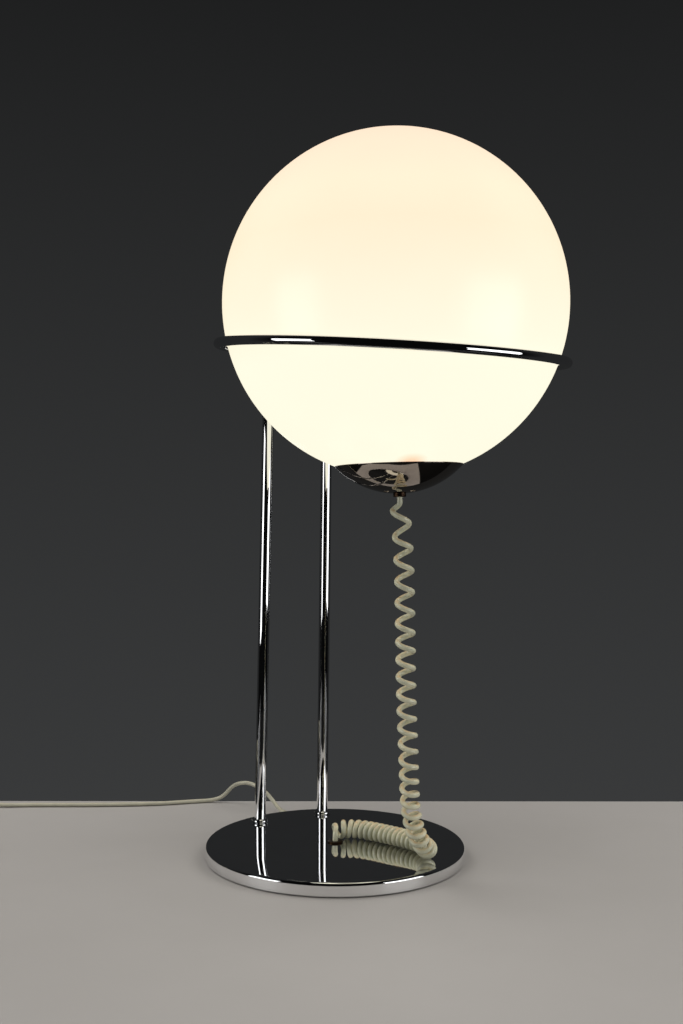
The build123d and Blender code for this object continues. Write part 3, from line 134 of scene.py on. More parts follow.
@dataclass(frozen=True)
class LampPlan:
    """The places that several sub-assemblies share."""

    globe_centre: Vector
    globe_up: Vector
    globe_radius: float = 150.0
    base_radius: float = 123.5
    base_height: float = 13.0
    foot_x: float = 35.0
    foot_y: float = 96.605
    toe_in: float = 2.7
    lean: float = 10.0
    rise: float = 457.0
    hoop_radius: float = 151.186
    hoop_rod: float = 4.2
    hoop_drop: float = 42.7
    hoop_pitch: float = 2.6
    hoop_roll: float = 1.9
    hoop_neck: float = 18.0
    hoop_bend: float = 24.0
    hoop_engagement: float = 26.0
    tube_gap: float = 2.0
    eyelet_flange: float = 7.4
    eyelet_height: float = 1.6
    lead_turn: float = 5.0
    lead_height: float = 6.0

    @property
    def globe_seat(self) -> Matrix:
        """The globe's own frame: its centre, with +Z along its axis."""
        return seat(self.globe_centre, self.globe_up)

    @property
    def hoop_normal(self) -> Vector:
        """The direction square to the hoop's plane."""
        roll = math.tan(math.radians(self.hoop_roll))
        pitch = math.tan(math.radians(self.hoop_pitch))
        return Vector((roll, -pitch, 1)).normalized()

    @property
    def hoop_seat(self) -> Matrix:
        """The hoop's own frame: the circle's centre, with +Z square to its plane."""
        centre = self.globe_centre - self.hoop_normal * self.hoop_drop * MM
        return seat(centre, self.hoop_normal)

    @property
    def lead_seat(self) -> Matrix:
        """The hole in the rim where the mains lead leaves, with +Z pointing out."""
        turn = math.radians(self.lead_turn)
        out = Vector((math.sin(turn), math.cos(turn), 0))
        origin = out * self.base_radius * MM + UP * self.lead_height * MM
        return seat(origin, out)

    def foot_seat(self, side: int) -> Matrix:
        """One upright's own frame, side -1 on the left and 1 on the right: its foot, +Z up the tube."""
        origin = point(side * self.foot_x, self.foot_y, self.base_height)
        return seat(origin, Vector((-side * self.toe_in, -self.lean, self.rise)))

    def corner(self, side: int) -> Vector:
        """Where an upright's axis meets the hoop's plane, in metres."""
        foot = self.foot_seat(side)
        along = foot.col[2].to_3d()
        centre = self.hoop_seat.translation
        reach = (centre - foot.translation).dot(self.hoop_normal) / along.dot(self.hoop_normal)
        return foot.translation + along * reach

    def tube_length(self, side: int) -> float:
        """Length of one upright in metres, from the cover to just under the hoop's bend."""
        foot = self.foot_seat(side)
        turn = (-foot.col[2].to_3d()).angle(self.hoop_seat.col[1].to_3d())
        bend_start = self.hoop_bend * MM * math.tan(turn / 2)
        return (self.corner(side) - foot.translation).length - bend_start - self.tube_gap * MM


# ---------------------------------------------------------------- mesh making


class Edge(Enum):
    """The fold in degrees from which an edge stays sharp."""

    ROUND = 75.0
    CRISP = 32.0


def new_object(name: str, data: bpy.types.ID) -> bpy.types.Object:
    """Add an object that shows this data to the scene."""
    piece = bpy.data.objects.new(name, data)
    bpy.context.scene.collection.objects.link(piece)
    return piece


def piece_from(mesh: bmesh.types.BMesh, name: str, place: Matrix, edge: Edge) -> bpy.types.Object:
    """Turn a finished bmesh into an object of the scene.

    Args:
        mesh: The shape in its own space, in metres. It is freed.
        name: The object's name.
        place: The matrix to the lamp's frame, which goes into the mesh.
        edge: Which creases stay sharp.

    Returns:
        The new object, standing at the origin.
    """
    bmesh.ops.remove_doubles(mesh, verts=mesh.verts, dist=WELD)
    bmesh.ops.recalc_face_normals(mesh, faces=mesh.faces)
    bmesh.ops.transform(mesh, matrix=place, verts=mesh.verts)
    limit = math.radians(edge.value)
    for side in mesh.edges:
        side.smooth = side.calc_face_angle(0.0) < limit
    for face in mesh.faces:
        face.smooth = True
    data = bpy.data.meshes.new(name)
    mesh.to_mesh(data)
    mesh.free()
    return new_object(name, data)


def lathe(
    name: str,
    profile: Sequence[Spot],
    place: Matrix,
    steps: int,
    closed: bool = True,
    edge: Edge = Edge.CRISP,
) -> bpy.types.Object:
    """Turn a profile round its own +Z.

    Args:
        name: The object's name.
        profile: Pairs of distance from the axis and height, in millimetres.
        place: The matrix to the lamp's frame.
        steps: Facets round the full turn.
        closed: Whether the last place joins the first.
        edge: Which creases stay sharp.

    Returns:
        The turned piece.
    """
    mesh = bmesh.new()
    verts = [mesh.verts.new((r * MM, 0, h * MM)) for r, h in profile]
    ends = list(zip(verts, verts[1:]))
    if closed:
        ends.append((verts[-1], verts[0]))
    lines = [mesh.edges.new(pair) for pair in ends]
    bmesh.ops.spin(
        mesh,
        geom=verts + lines,
        cent=(0, 0, 0),
        axis=(0, 0, 1),
        dvec=(0, 0, 0),
        angle=math.tau,
        steps=steps,
        use_merge=True,
        use_duplicate=False,
    )
    return piece_from(mesh, name, place, edge)


def spline(name: str, places: Sequence[Vector], order: int = 0) -> bpy.types.Object:
    """Draw a curve object through or along a list of places.

    Args:
        name: The object's name.
        places: Places in metres.
        order: 0 for straight runs, else the order of a smooth curve that the places steer.

    Returns:
        The curve object, with no thickness yet.
    """
    data = bpy.data.curves.new(name, "CURVE")
    data.dimensions = "3D"
    line = data.splines.new("NURBS" if order else "POLY")
    line.points.add(len(places) - 1)
    for knot, place in zip(line.points, places):
        knot.co = (*place, 1)
    if order:
        line.order_u = order
        line.use_endpoint_u = True
        line.resolution_u = 24
    line.use_smooth = True
    return new_object(name, data)


def thicken(curve: bpy.types.Object, radius_mm: float, rounds: int) -> None:
    """Give a curve a round section and closed ends."""
    curve.data.bevel_depth = radius_mm * MM
    curve.data.bevel_resolution = rounds
    curve.data.use_fill_caps = True
    curve.data.twist_mode = "MINIMUM"


def drawn_mesh(piece: bpy.types.Object) -> bpy.types.Mesh:
    """Read the mesh that an object draws, with its thickness and its modifiers."""
    bpy.context.view_layer.update()
    return bpy.data.meshes.new_from_object(piece.evaluated_get(bpy.context.evaluated_depsgraph_get()))


def points_along(curve: bpy.types.Object) -> list[Vector]:
    """Read the places that a curve with no thickness runs through."""
    drawn = drawn_mesh(curve)
    places = [v.co.copy() for v in drawn.vertices]
    bpy.data.meshes.remove(drawn)
    return places


def run_length(places: Sequence[Vector]) -> float:
    """Add up the straight steps from place to place."""
    return sum((b - a).length for a, b in zip(places, places[1:]))


def as_mesh(curve: bpy.types.Object) -> bpy.types.Object:
    """Swap a curve object for the mesh that it draws, under the same name."""
    drawn = drawn_mesh(curve)
    name = curve.name
    bpy.data.objects.remove(curve)
    drawn.name = name
    return new_object(name, drawn)


def ease(start: Vector, leaving: Vector, end: Vector, arriving: Vector, steps: int) -> list[Vector]:
    """List places on a smooth passage between two places and directions, without its two ends.

    Args:
        start: The first place.
        leaving: The direction there.
        end: The last place.
        arriving: The direction there.
        steps: How many stretches it has.

    Returns:
        The places between.
    """
    pull = (end - start).length
    a, b = leaving.normalized() * pull, arriving.normalized() * pull
    places = []
    for k in range(1, steps):
        t = k / steps
        places.append(
            start * (2 * t**3 - 3 * t**2 + 1)
            + a * (t**3 - 2 * t**2 + t)
            + end * (3 * t**2 - 2 * t**3)
            + b * (t**3 - t**2)
        )
    return places


# ---------------------------------------------------------------- shading


class Wire:
    """A shader socket that takes part in plain arithmetic."""

    def __init__(self, graph: "Graph", socket: bpy.types.NodeSocket) -> None:
        """Hold one output socket of a graph."""
        self.graph = graph
        self.socket = socket

    def _math(self, operation: str, *terms: "Wire | float") -> "Wire":
        """Add one Math node on these terms."""
        return self.graph.add("ShaderNodeMath", {"operation": operation}, dict(enumerate(terms)))

    def __add__(self, other: "Wire | float") -> "Wire":
        """self + other."""
        return self._math("ADD", self, other)

    def __radd__(self, other: float) -> "Wire":
        """other + self."""
        return self._math("ADD", other, self)

    def __sub__(self, other: "Wire | float") -> "Wire":
        """self - other."""
        return self._math("SUBTRACT", self, other)

    def __rsub__(self, other: float) -> "Wire":
        """other - self."""
        return self._math("SUBTRACT", other, self)

    def __mul__(self, other: "Wire | float") -> "Wire":
        """self * other."""
        return self._math("MULTIPLY", self, other)

    def size(self) -> "Wire":
        """The value without its sign."""
        return self._math("ABSOLUTE", self)

    def clip(self) -> "Wire":
        """Hold the value between 0 and 1."""
        return self.graph.add("ShaderNodeClamp", {}, {"Value": self})

    def above(self, edge: float, soft: float) -> "Wire":
        """Rise from 0 to 1 as the value passes an edge, over a soft width."""
        return ((self - (edge - soft / 2)) * (1 / soft)).clip()


class Graph:
    """The nodes of one material, or of the world."""

    def __init__(self, holder: bpy.types.Material | bpy.types.World, shader: str) -> None:
        """Turn on the holder's nodes and take this one as its shader."""
        holder.use_nodes = True
        self.nodes = holder.node_tree.nodes
        self.links = holder.node_tree.links
        self.shader = self.nodes[shader]

    def add(self, kind: str, settings: dict, inputs: dict, output: int | str = 0) -> Wire:
        """Add a node.

        Args:
            kind: The node's type.
            settings: Its own settings, set first.
            inputs: Values or wires by socket name or number.
            output: Which of its sockets to hand back.

        Returns:
            The wire from that socket.
        """
        node = self.nodes.new(kind)
        for key, value in settings.items():
            setattr(node, key, value)
        for key, value in inputs.items():
            self.feed(node.inputs[key], value)
        return Wire(self, node.outputs[output])

    def feed(self, socket: bpy.types.NodeSocket, value: "Wire | float | Sequence[float]") -> None:
        """Give a socket a value or a link."""
        if isinstance(value, Wire):
            self.links.new(value.socket, socket)
            return
        if isinstance(value, (tuple, list)) and len(value) == 3 and socket.type == "RGBA":
            value = (*value, 1.0)
        socket.default_value = value

    def surface(self, **inputs: "Wire | float | Sequence[float]") -> None:
        """Set the shader's inputs, with underscores for spaces."""
        for key, value in inputs.items():
            self.feed(self.shader.inputs[key.replace("_", " ")], value)

    def place(self) -> Wire:
        """Object coordinates, which are the lamp's own frame in metres."""
        return self.add("ShaderNodeTexCoord", {}, {}, "Object")

    def rise(self, vector: Wire) -> Wire:
        """The upward part of a vector."""
        return self.add("ShaderNodeSeparateXYZ", {}, {0: vector}, "Z")

    def offset(self, origin: Sequence[float]) -> Wire:
        """The way from a place, in metres, to the shaded one."""
        inputs = {0: self.place(), 1: tuple(origin)}
        return self.add("ShaderNodeVectorMath", {"operation": "SUBTRACT"}, inputs)

    def noise(self, size_mm: float, detail: float, stretch: Place = (1, 1, 1)) -> Wire:
        """Cloudy noise from 0 to 1 with patches about this large, squeezed along an axis by stretch."""
        where = self.add("ShaderNodeMapping", {}, {"Vector": self.place(), "Scale": stretch})
        inputs = {"Vector": where, "Scale": 1 / (size_mm * MM), "Detail": detail, "Roughness": 0.55}
        return self.add("ShaderNodeTexNoise", {}, inputs, "Fac")

    def specks(self, size_mm: float, share: float) -> Wire:
        """Small separate dots, 1 inside and 0 outside."""
        inputs = {"Vector": self.place(), "Scale": 1 / (size_mm * MM)}
        far = self.add("ShaderNodeTexVoronoi", {}, inputs, "Distance")
        return 1 - far.above(share, share * 0.5)

    def mix(self, share: "Wire | float", first: "Wire | Colour", second: "Wire | Colour") -> Wire:
        """Blend two colours."""
        inputs = {0: share, 6: first, 7: second}
        return self.add("ShaderNodeMix", {"data_type": "RGBA"}, inputs, 2)

    def along(self, vector: Wire, direction: Sequence[float]) -> Wire:
        """How far a vector reaches along a direction."""
        inputs = {0: vector, 1: tuple(direction)}
        return self.add("ShaderNodeVectorMath", {"operation": "DOT_PRODUCT"}, inputs, "Value")

    def ray(self, kind: str) -> Wire:
        """1 for light paths of this kind, such as Is Camera Ray, and 0 for others."""
        return self.add("ShaderNodeLightPath", {}, {}, kind)

    def bump(self, height: Wire, depth_mm: float) -> None:
        """Roughen the surface by a height from 0 to 1."""
        inputs = {"Height": height, "Distance": depth_mm * MM, "Strength": 1.0}
        self.surface(Normal=self.add("ShaderNodeBump", {}, inputs, "Normal"))


@dataclass(frozen=True)
class Finish:
    """A finish that pieces share by its name."""

    name: str

    def build(self) -> bpy.types.Material:
        """Return the material, made the first time that it is asked for."""
        found = bpy.data.materials.get(self.name)
        if found:
            return found
        material = bpy.data.materials.new(self.name)
        self.shade(Graph(material, "Principled BSDF"))
        return material

    def shade(self, graph: Graph) -> None:
        """Add this finish's nodes."""
        raise NotImplementedError


@dataclass(frozen=True)
class Plated(Finish):
    """Bright plating: a mirror with faint wiping marks and a few dull spots."""

    tint: Colour = (0.88, 0.885, 0.90)
    dull: Colour = (0.7, 0.7, 0.7)
    gloss: float = 0.02
    haze: float = 0.03
    spot_haze: float = 0.15

    def shade(self, graph: Graph) -> None:
        """Add the mirror, its haze and its spots."""
        wipes = graph.noise(size_mm=26, detail=4, stretch=(1, 1, 0.25)).above(0.56, soft=0.3)
        spots = graph.specks(size_mm=9, share=0.035)
        graph.surface(
            Base_Color=graph.mix((wipes * 0.25 + spots * 0.5).clip(), self.tint, self.dull),
            Metallic=1.0,
            Roughness=self.gloss + wipes * self.haze + spots * self.spot_haze,
        )


@dataclass(frozen=True)
class LitOpal(Finish):
    """Lit opal glass: whiter where the bulb is near, peach towards the top, with one warm spot."""

    centre: Vector
    up: Vector
    radius: float
    body: Colour = (0.14, 0.13, 0.115)
    fleck: Colour = (0.4, 0.36, 0.3)
    low: Colour = (0.98, 0.94, 0.75)
    middle: Colour = (0.95, 0.80, 0.58)
    top: Colour = (0.93, 0.70, 0.52)
    blush: Colour = (1.0, 0.60, 0.36)
    glow: float = 1.0
    gloss: float = 0.26
    spot: Place = (-19.0, -62.0, -135.5)
    spot_radius: float = 9.0
    spot_soft: float = 11.0

    def shade(self, graph: Graph) -> None:
        """Add the glow and the glaze."""
        clouds = graph.noise(size_mm=70, detail=2)
        height = graph.along(graph.offset(self.centre), self.up)
        level = height * (1 / (self.radius * MM)) + (clouds - 0.5) * 0.12
        warm = graph.mix(level.above(-0.05, soft=0.7), self.low, self.middle)
        lamp_light = graph.mix(level.above(0.78, soft=0.5), warm, self.top)
        neck = {0: graph.place(), 1: tuple(self.centre + point(*self.spot))}
        away = graph.add("ShaderNodeVectorMath", {"operation": "DISTANCE"}, neck, "Value")
        warm_spot = 1 - away.above(self.spot_radius * MM, soft=self.spot_soft * MM)
        flecks = graph.specks(size_mm=46, share=0.012)
        graph.surface(
            Base_Color=graph.mix(flecks, self.body, self.fleck),
            Roughness=self.gloss + graph.noise(size_mm=35, detail=3) * 0.06,
            Emission_Color=graph.mix(warm_spot * 0.8, lamp_light, self.blush),
            Emission_Strength=self.glow,
        )


@dataclass(frozen=True)
class Frosted(Finish):
    """Frosted bulb glass that glows."""

    body: Colour = (0.9, 0.88, 0.82)
    shadow: Colour = (0.8, 0.78, 0.72)
    light: Colour = (1.0, 0.86, 0.62)
    glow: float = 1.2
    gloss: float = 0.45

    def shade(self, graph: Graph) -> None:
        """Add a soft glow and a fine frost."""
        frost = graph.noise(size_mm=3, detail=4)
        graph.surface(
            Base_Color=graph.mix(frost, self.body, self.shadow),
            Roughness=self.gloss + frost * 0.2,
            Emission_Color=self.light,
            Emission_Strength=self.glow,
        )


@dataclass(frozen=True)
class WornSheath(Finish):
    """Aged cord sheath: ivory, greener in patches, with a little grit, and painted warm light: tan where
    it faces up.
    """

    fresh: Colour = (0.80, 0.77, 0.55)
    grey: Colour = (0.50, 0.53, 0.41)
    # tan, and the share below it, paint the globe's warm light on the parts that face up.
    tan: Colour = (0.74, 0.46, 0.20)
    dirt: Colour = (0.26, 0.2, 0.12)
    warm_light_share: float = 0.75
    gloss: float = 0.2
    coat: float = 0.6
    coat_gloss: float = 0.12

    def shade(self, graph: Graph) -> None:
        """Add the greener patches, the painted warm light on the parts that face up, the grit and the
        sheen.
        """
        patches = graph.noise(size_mm=14, detail=4).above(0.5, soft=0.35)
        aged = graph.mix(patches * 0.6, self.fresh, self.grey)
        # Painted light: parts that face up turn tan in patches, standing in for the globe's warm light
        # falling on them.
        facing = graph.rise(graph.add("ShaderNodeNewGeometry", {}, {}, "Normal")).above(0.62, soft=0.6)
        painted_warm_light = facing * graph.noise(size_mm=5, detail=3).above(0.46, soft=0.35) * self.warm_light_share
        dusty = graph.noise(size_mm=9, detail=2).above(0.55, soft=0.2)
        grit = graph.specks(size_mm=2.4, share=0.16) * dusty
        coloured = graph.mix(painted_warm_light.clip(), aged, self.tan)
        graph.surface(
            Base_Color=graph.mix(grit * 0.5, coloured, self.dirt),
            Roughness=self.gloss + patches * 0.12 + grit * 0.2,
            Coat_Weight=self.coat,
            Coat_Roughness=self.coat_gloss,
        )
        graph.bump(graph.noise(size_mm=1.1, detail=3), depth_mm=0.05)


@dataclass(frozen=True)
class Moulded(Finish):
    """Moulded plastic, ceramic or rubber with a fine grain."""

    body: Colour
    shadow: Colour
    gloss: float
    grain_mm: float = 0.7
    coat: float = 0.0

    def shade(self, graph: Graph) -> None:
        """Add the grain and the handling marks."""
        marks = graph.noise(size_mm=12, detail=4)
        graph.surface(
            Base_Color=graph.mix(marks, self.body, self.shadow),
            Roughness=self.gloss + marks * 0.12,
            Coat_Weight=self.coat,
        )
        graph.bump(graph.noise(self.grain_mm, detail=2), depth_mm=0.03)


@dataclass(frozen=True)
class Metal(Finish):
    """Plain metal: brass, zinc plate, spring steel or dark bronze, with its tarnish."""

    tint: Colour
    tarnish: Colour
    gloss: float
    brightness: float = 0.0
    speck: Colour = (0.85, 0.75, 0.6)

    def shade(self, graph: Graph) -> None:
        """Add the tarnish, the turning marks and a few bright specks."""
        cloud = graph.noise(size_mm=6, detail=4).above(0.5, soft=0.4)
        lines = graph.noise(size_mm=0.6, detail=2, stretch=(0.05, 0.05, 1))
        bright = graph.specks(size_mm=2.2, share=0.2) * self.brightness
        graph.surface(
            Base_Color=graph.mix(bright, graph.mix(cloud, self.tint, self.tarnish), self.speck),
            Metallic=1.0,
            Roughness=self.gloss + cloud * 0.15 - bright * 0.1,
        )
        graph.bump(lines, depth_mm=0.01)


@dataclass(frozen=True)
class Cast(Finish):
    """Painted cast iron."""

    body: Colour = (0.035, 0.035, 0.037)
    dust: Colour = (0.07, 0.068, 0.065)
    gloss: float = 0.55

    def shade(self, graph: Graph) -> None:
        """Add the sandy casting skin."""
        skin = graph.noise(size_mm=1.6, detail=5)
        graph.surface(Base_Color=graph.mix(skin, self.body, self.dust), Roughness=self.gloss + skin * 0.2)
        graph.bump(skin, depth_mm=0.15)


@dataclass(frozen=True)
class Felt(Finish):
    """Pressed felt: matted fibres."""

    body: Colour = (0.012, 0.012, 0.013)
    lint: Colour = (0.05, 0.05, 0.048)

    def shade(self, graph: Graph) -> None:
        """Add the fibres."""
        fibres = graph.noise(size_mm=0.8, detail=5, stretch=(1, 0.3, 1))
        tufts = fibres * graph.noise(size_mm=9, detail=3)
        graph.surface(Base_Color=graph.mix(tufts, self.body, self.lint), Roughness=0.95, Sheen_Weight=0.4)
        graph.bump(fibres, depth_mm=0.25)


@dataclass(frozen=True)
class Surface(Finish):
    """The pale table under the lamp, with a painted reflection: mirrors see it dark except for the part
    near the lamp.
    """

    ahead: Place
    right: Place
    body: Colour = (0.41, 0.385, 0.36)
    soil: Colour = (0.37, 0.345, 0.32)
    # The near black that the table is painted with in mirrors, away from the lamp.
    painted_mirror_dark: Colour = (0.004, 0.004, 0.004)
    mirrored_half_width: float = 197.0
    mirrored_front: float = -194.0
    fade: float = 6.0

    def shade(self, graph: Graph) -> None:
        """Add a soft unevenness, and the painted dark that mirrors see further out."""
        cloud = graph.noise(size_mm=160, detail=3)
        across = graph.along(graph.place(), self.right).size()
        aside = across.above(self.mirrored_half_width * MM, self.fade * MM)
        near = graph.along(graph.place(), self.ahead).above(self.mirrored_front * MM, self.fade * MM)
        # Painted reflection: glossy rays see the table near black away from the lamp.
        dark = graph.ray("Is Glossy Ray") * (1 - (1 - aside) * near)
        graph.surface(
            Base_Color=graph.mix(dark, graph.mix(cloud, self.body, self.soil), self.painted_mirror_dark),
            Roughness=0.5 + cloud * 0.1,
        )
        graph.bump(graph.noise(size_mm=2.5, detail=3), depth_mm=0.02)


class Finishes:
    """Every finish of the lamp, by the slot that it stands for."""

    def __init__(self, plan: LampPlan) -> None:
        """Write the list."""
        brass, zinc = ((0.70, 0.50, 0.22), (0.45, 0.28, 0.1)), ((0.55, 0.56, 0.58), (0.4, 0.4, 0.38))
        black, spring = ((0.06, 0.06, 0.065), (0.03, 0.03, 0.03)), ((0.45, 0.46, 0.5), (0.3, 0.3, 0.32))
        bronze, tin = ((0.10, 0.055, 0.03), (0.03, 0.02, 0.016)), ((0.7, 0.7, 0.7), (0.5, 0.5, 0.5))
        ivory, cream = ((0.50, 0.48, 0.38), (0.42, 0.40, 0.30)), ((0.7, 0.68, 0.62), (0.6, 0.57, 0.5))
        white, clear = ((0.78, 0.76, 0.7), (0.7, 0.67, 0.6)), ((0.55, 0.55, 0.52), (0.42, 0.42, 0.4))
        brown, rubber = ((0.12, 0.05, 0.02), (0.08, 0.03, 0.015)), ((0.03, 0.03, 0.03), (0.05, 0.05, 0.05))
        # The lead's tan and its share are a weaker painted warm light on its upper side.
        greyed = {"fresh": (0.50, 0.48, 0.37), "grey": (0.38, 0.37, 0.29), "tan": (0.4, 0.3, 0.17)}
        self.by_slot: dict[str, Finish] = {
            "chrome": Plated("bright_plating"),
            "opal_glass": LitOpal("lit_opal", plan.globe_centre, plan.globe_up, plan.globe_radius),
            "bulb_glass": Frosted("bulb_frost"),
            "bulb_metal": Metal("bulb_tin", *tin, gloss=0.3),
            "brass": Metal("turned_brass", *brass, gloss=0.25),
            "zinc_steel": Metal("zinc_plate", *zinc, gloss=0.35),
            "dark_steel": Metal("black_steel", *black, gloss=0.35),
            "spring_steel": Metal("spring_strip", *spring, gloss=0.25),
            "bronze": Metal("dark_bronze", *bronze, gloss=0.3, brightness=0.25),
            "cast_iron": Cast("cast_iron_skin"),
            "felt": Felt("black_felt"),
            "moulding": Moulded("terminal_moulding", *cream, gloss=0.4),
            "holder_ceramic": Moulded("glazed_ceramic", *white, gloss=0.15, grain_mm=4, coat=0.6),
            "clear_bumper": Moulded("clear_bumper_gel", *clear, gloss=0.2),
            "curly_sheath": WornSheath("ivory_curls"),
            "lead_sheath": WornSheath("ivory_lead", **greyed, warm_light_share=0.3, gloss=0.4),
            "core_sheath": Moulded("core_skin", *brown, gloss=0.4),
            "fitting": Moulded("fitting_shell", *ivory, gloss=0.35, grain_mm=0.9, coat=0.15),
            "tie": Moulded("tie_rubber", *rubber, gloss=0.6),
        }

    def put_on(self, piece: bpy.types.Object, slot: str, finish: Finish | None = None) -> None:
        """Dress a piece for its slot.

        Args:
            piece: The object to dress.
            slot: Its slot, which a solid of the frame has from the start.
            finish: The finish, where it isn't the slot's own.
        """
        piece.data.materials.clear()
        piece.data.materials.append((finish or self.by_slot[slot]).build())


# ---------------------------------------------------------------- the lamp's sub-assemblies


@dataclass
class Assembly:
    """What every sub-assembly has: the shared plan, the finishes and a list of its pieces."""

    plan: LampPlan
    finishes: Finishes
    pieces: list[bpy.types.Object] = field(default_factory=list)

    def settle(
        self, piece: bpy.types.Object, body: str, slot: str, *nodes: str, finish: Finish | None = None
    ) -> None:
        """Dress a finished piece and fix it to its body.

        Args:
            piece: The finished object.
            body: The body that it rides on.
            slot: The finish's slot.
            nodes: The plain solids that it stands for.
            finish: The finish, where it isn't the slot's own.
        """
        self.finishes.put_on(piece, slot, finish)
        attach(piece, body)
        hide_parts(*nodes)
        self.pieces.append(piece)


@dataclass
class Base(Assembly):
    """The round base: its bright shell, the centre eyelet and the relief at the rim."""

    lift: float = 0.8
    wall: float = 1.2
    edge_radius: float = 3.0
    foot_chamfer: float = 0.25
    ring_shares: tuple[float, float] = (0.35, 0.7)
    eyelet_bore: float = 2.5
    eyelet_bead: float = 0.6
    eyelet_waist: float = 4.3
    eyelet_tail: float = 5.5
    eyelet_depth: float = 2.4
    eyelet_clearance: float = 0.05
    flange_overlap: float = 2.8
    flange_bead: float = 0.8
    lead_radius: float = 2.1
    relief_clearance: float = 0.1
    relief_length: float = 20.0
    relief_tail: float = 3.4
    tail_depth: float = 3.2
    relief_flange: float = 4.4
    relief_bead: float = 0.5
    relief_thickness: float = 1.4
    rings: int = 6
    rings_start: float = 1.6
    rings_end: float = 1.8
    ring_radius: float = 3.6
    ring_taper: float = 0.8
    groove_depth: float = 0.45
    tip_radius: float = 2.8
    tip_length: float = 1.5
    tip_chamfer: tuple[float, float] = (0.3, 0.4)

    def make(self) -> None:
        """Build the visible base."""
        self.make_cover()
        self.make_eyelet()
        self.make_relief()

    def make_cover(self) -> None:
        """Turn the shell with its rounded top edge and open underside."""
        r, h, e, w = self.plan.base_radius, self.plan.base_height, self.edge_radius, self.wall
        hole, chamfer = self.plan.eyelet_flange - self.flange_overlap, self.foot_chamfer
        inner, outer = (r * share for share in self.ring_shares)
        profile = [(hole, h), (inner, h), (outer, h)]
        profile += arc((r - e, h - e), e, 90, 0, 12)
        profile += [(r, self.lift + chamfer), (r - chamfer, self.lift), (r - w, self.lift)]
        profile += arc((r - e, h - e), e - w, 0, 90, 8)
        profile += [(outer, h - w), (hole, h - w)]
        piece = lathe("base_shell", profile, Matrix(), 192)
        self.settle(piece, "stand", "chrome", "base_cover")

    def make_eyelet(self) -> None:
        """Turn the dark eyelet round the curly cord, with its rolled flange."""
        h, bore, tail, waist = self.plan.base_height, self.eyelet_bore, self.eyelet_tail, self.eyelet_waist
        outer, inner = self.flange_bead, self.eyelet_bead
        under = h - self.wall
        profile = [(bore, h - self.eyelet_depth), (tail, h - self.eyelet_depth)]
        profile += [(tail, under - self.eyelet_clearance), (waist, under), (waist, h)]
        profile += arc((self.plan.eyelet_flange - outer, h + outer), outer, -90, 90, 8)
        profile += arc((bore + inner, h + self.plan.eyelet_height - inner), inner, 90, 180, 5)
        piece = lathe("centre_eyelet", profile, Matrix(), 64, edge=Edge.ROUND)
        self.settle(piece, "stand", "bronze", "centre_grommet")

    def make_relief(self) -> None:
        """Turn the tapered relief of the mains lead, with its bending rings."""
        bore, length, bead = self.lead_radius + self.relief_clearance, self.relief_length, self.relief_bead
        profile = [(bore, -self.tail_depth), (self.relief_tail, -self.tail_depth)]
        profile += [(self.relief_tail, 0), (self.relief_flange, 0)]
        profile += arc((self.relief_flange - bead, self.relief_thickness - bead), bead, 0, 90, 4)
        step = (length - self.rings_start - self.rings_end) / self.rings
        for k in range(self.rings):
            start = self.rings_start + step * k
            crest = self.ring_radius - self.ring_taper * k / self.rings
            groove = crest - self.groove_depth
            profile += [(crest, start), (crest, start + step * 0.55)]
            profile += [(groove, start + step * 0.65), (groove, start + step * 0.95)]
        tip, (inset, drop) = self.tip_radius, self.tip_chamfer
        profile += [(tip, length - self.tip_length), (tip, length - drop)]
        profile += [(tip - inset, length), (bore, length)]
        piece = lathe("lead_relief", profile, self.plan.lead_seat, 48)
        self.settle(piece, "stand", "lead_sheath", "mains_relief")


@dataclass
class Uprights(Assembly):
    """The two slim tubes and their half-round foot collars."""

    radius: float = 5.6
    wall: float = 1.3
    mouth_round: float = 0.4
    mouth_break: float = 0.12
    collar_radius: float = 8.5
    collar_height: float = 3.8
    collar_clearance: float = 0.05
    collar_chamfer: float = 0.3

    def make(self) -> None:
        """Build both sides."""
        for side, name in ((-1, "left"), (1, "right")):
            place = self.plan.foot_seat(side)
            tube = lathe(f"{name}_tube", self.tube_profile(self.plan.tube_length(side) / MM), place, 64)
            self.settle(tube, "stand", "chrome", f"{name}_upright")
            bead = lathe(f"{name}_bead", self.collar_profile(), place, 64, edge=Edge.ROUND)
            self.settle(bead, "stand", "chrome", f"{name}_collar")

    def tube_profile(self, length: float) -> list[Spot]:
        """Outline a tube of this length, with its mouth broken."""
        r, inner = self.radius, self.radius - self.wall
        profile = [(inner, 0.0), (r, 0.0), (r, length / 2), (r, length - self.mouth_round)]
        profile += [(r - self.mouth_break, length - self.mouth_break)]
        return profile + [(r - self.mouth_round, length), (inner, length)]

    def collar_profile(self) -> list[Spot]:
        """Outline a foot collar, whose outside is half round."""
        bead, gap = self.collar_height / 2, self.collar_clearance
        inner = self.radius + gap
        profile = [(inner, gap), (self.collar_radius - bead, gap)]
        profile += arc((self.collar_radius - bead, bead), bead, -80, 90, 14)
        profile += [(inner + self.collar_chamfer, self.collar_height)]
        return profile + [(inner, self.collar_height - self.collar_chamfer)]


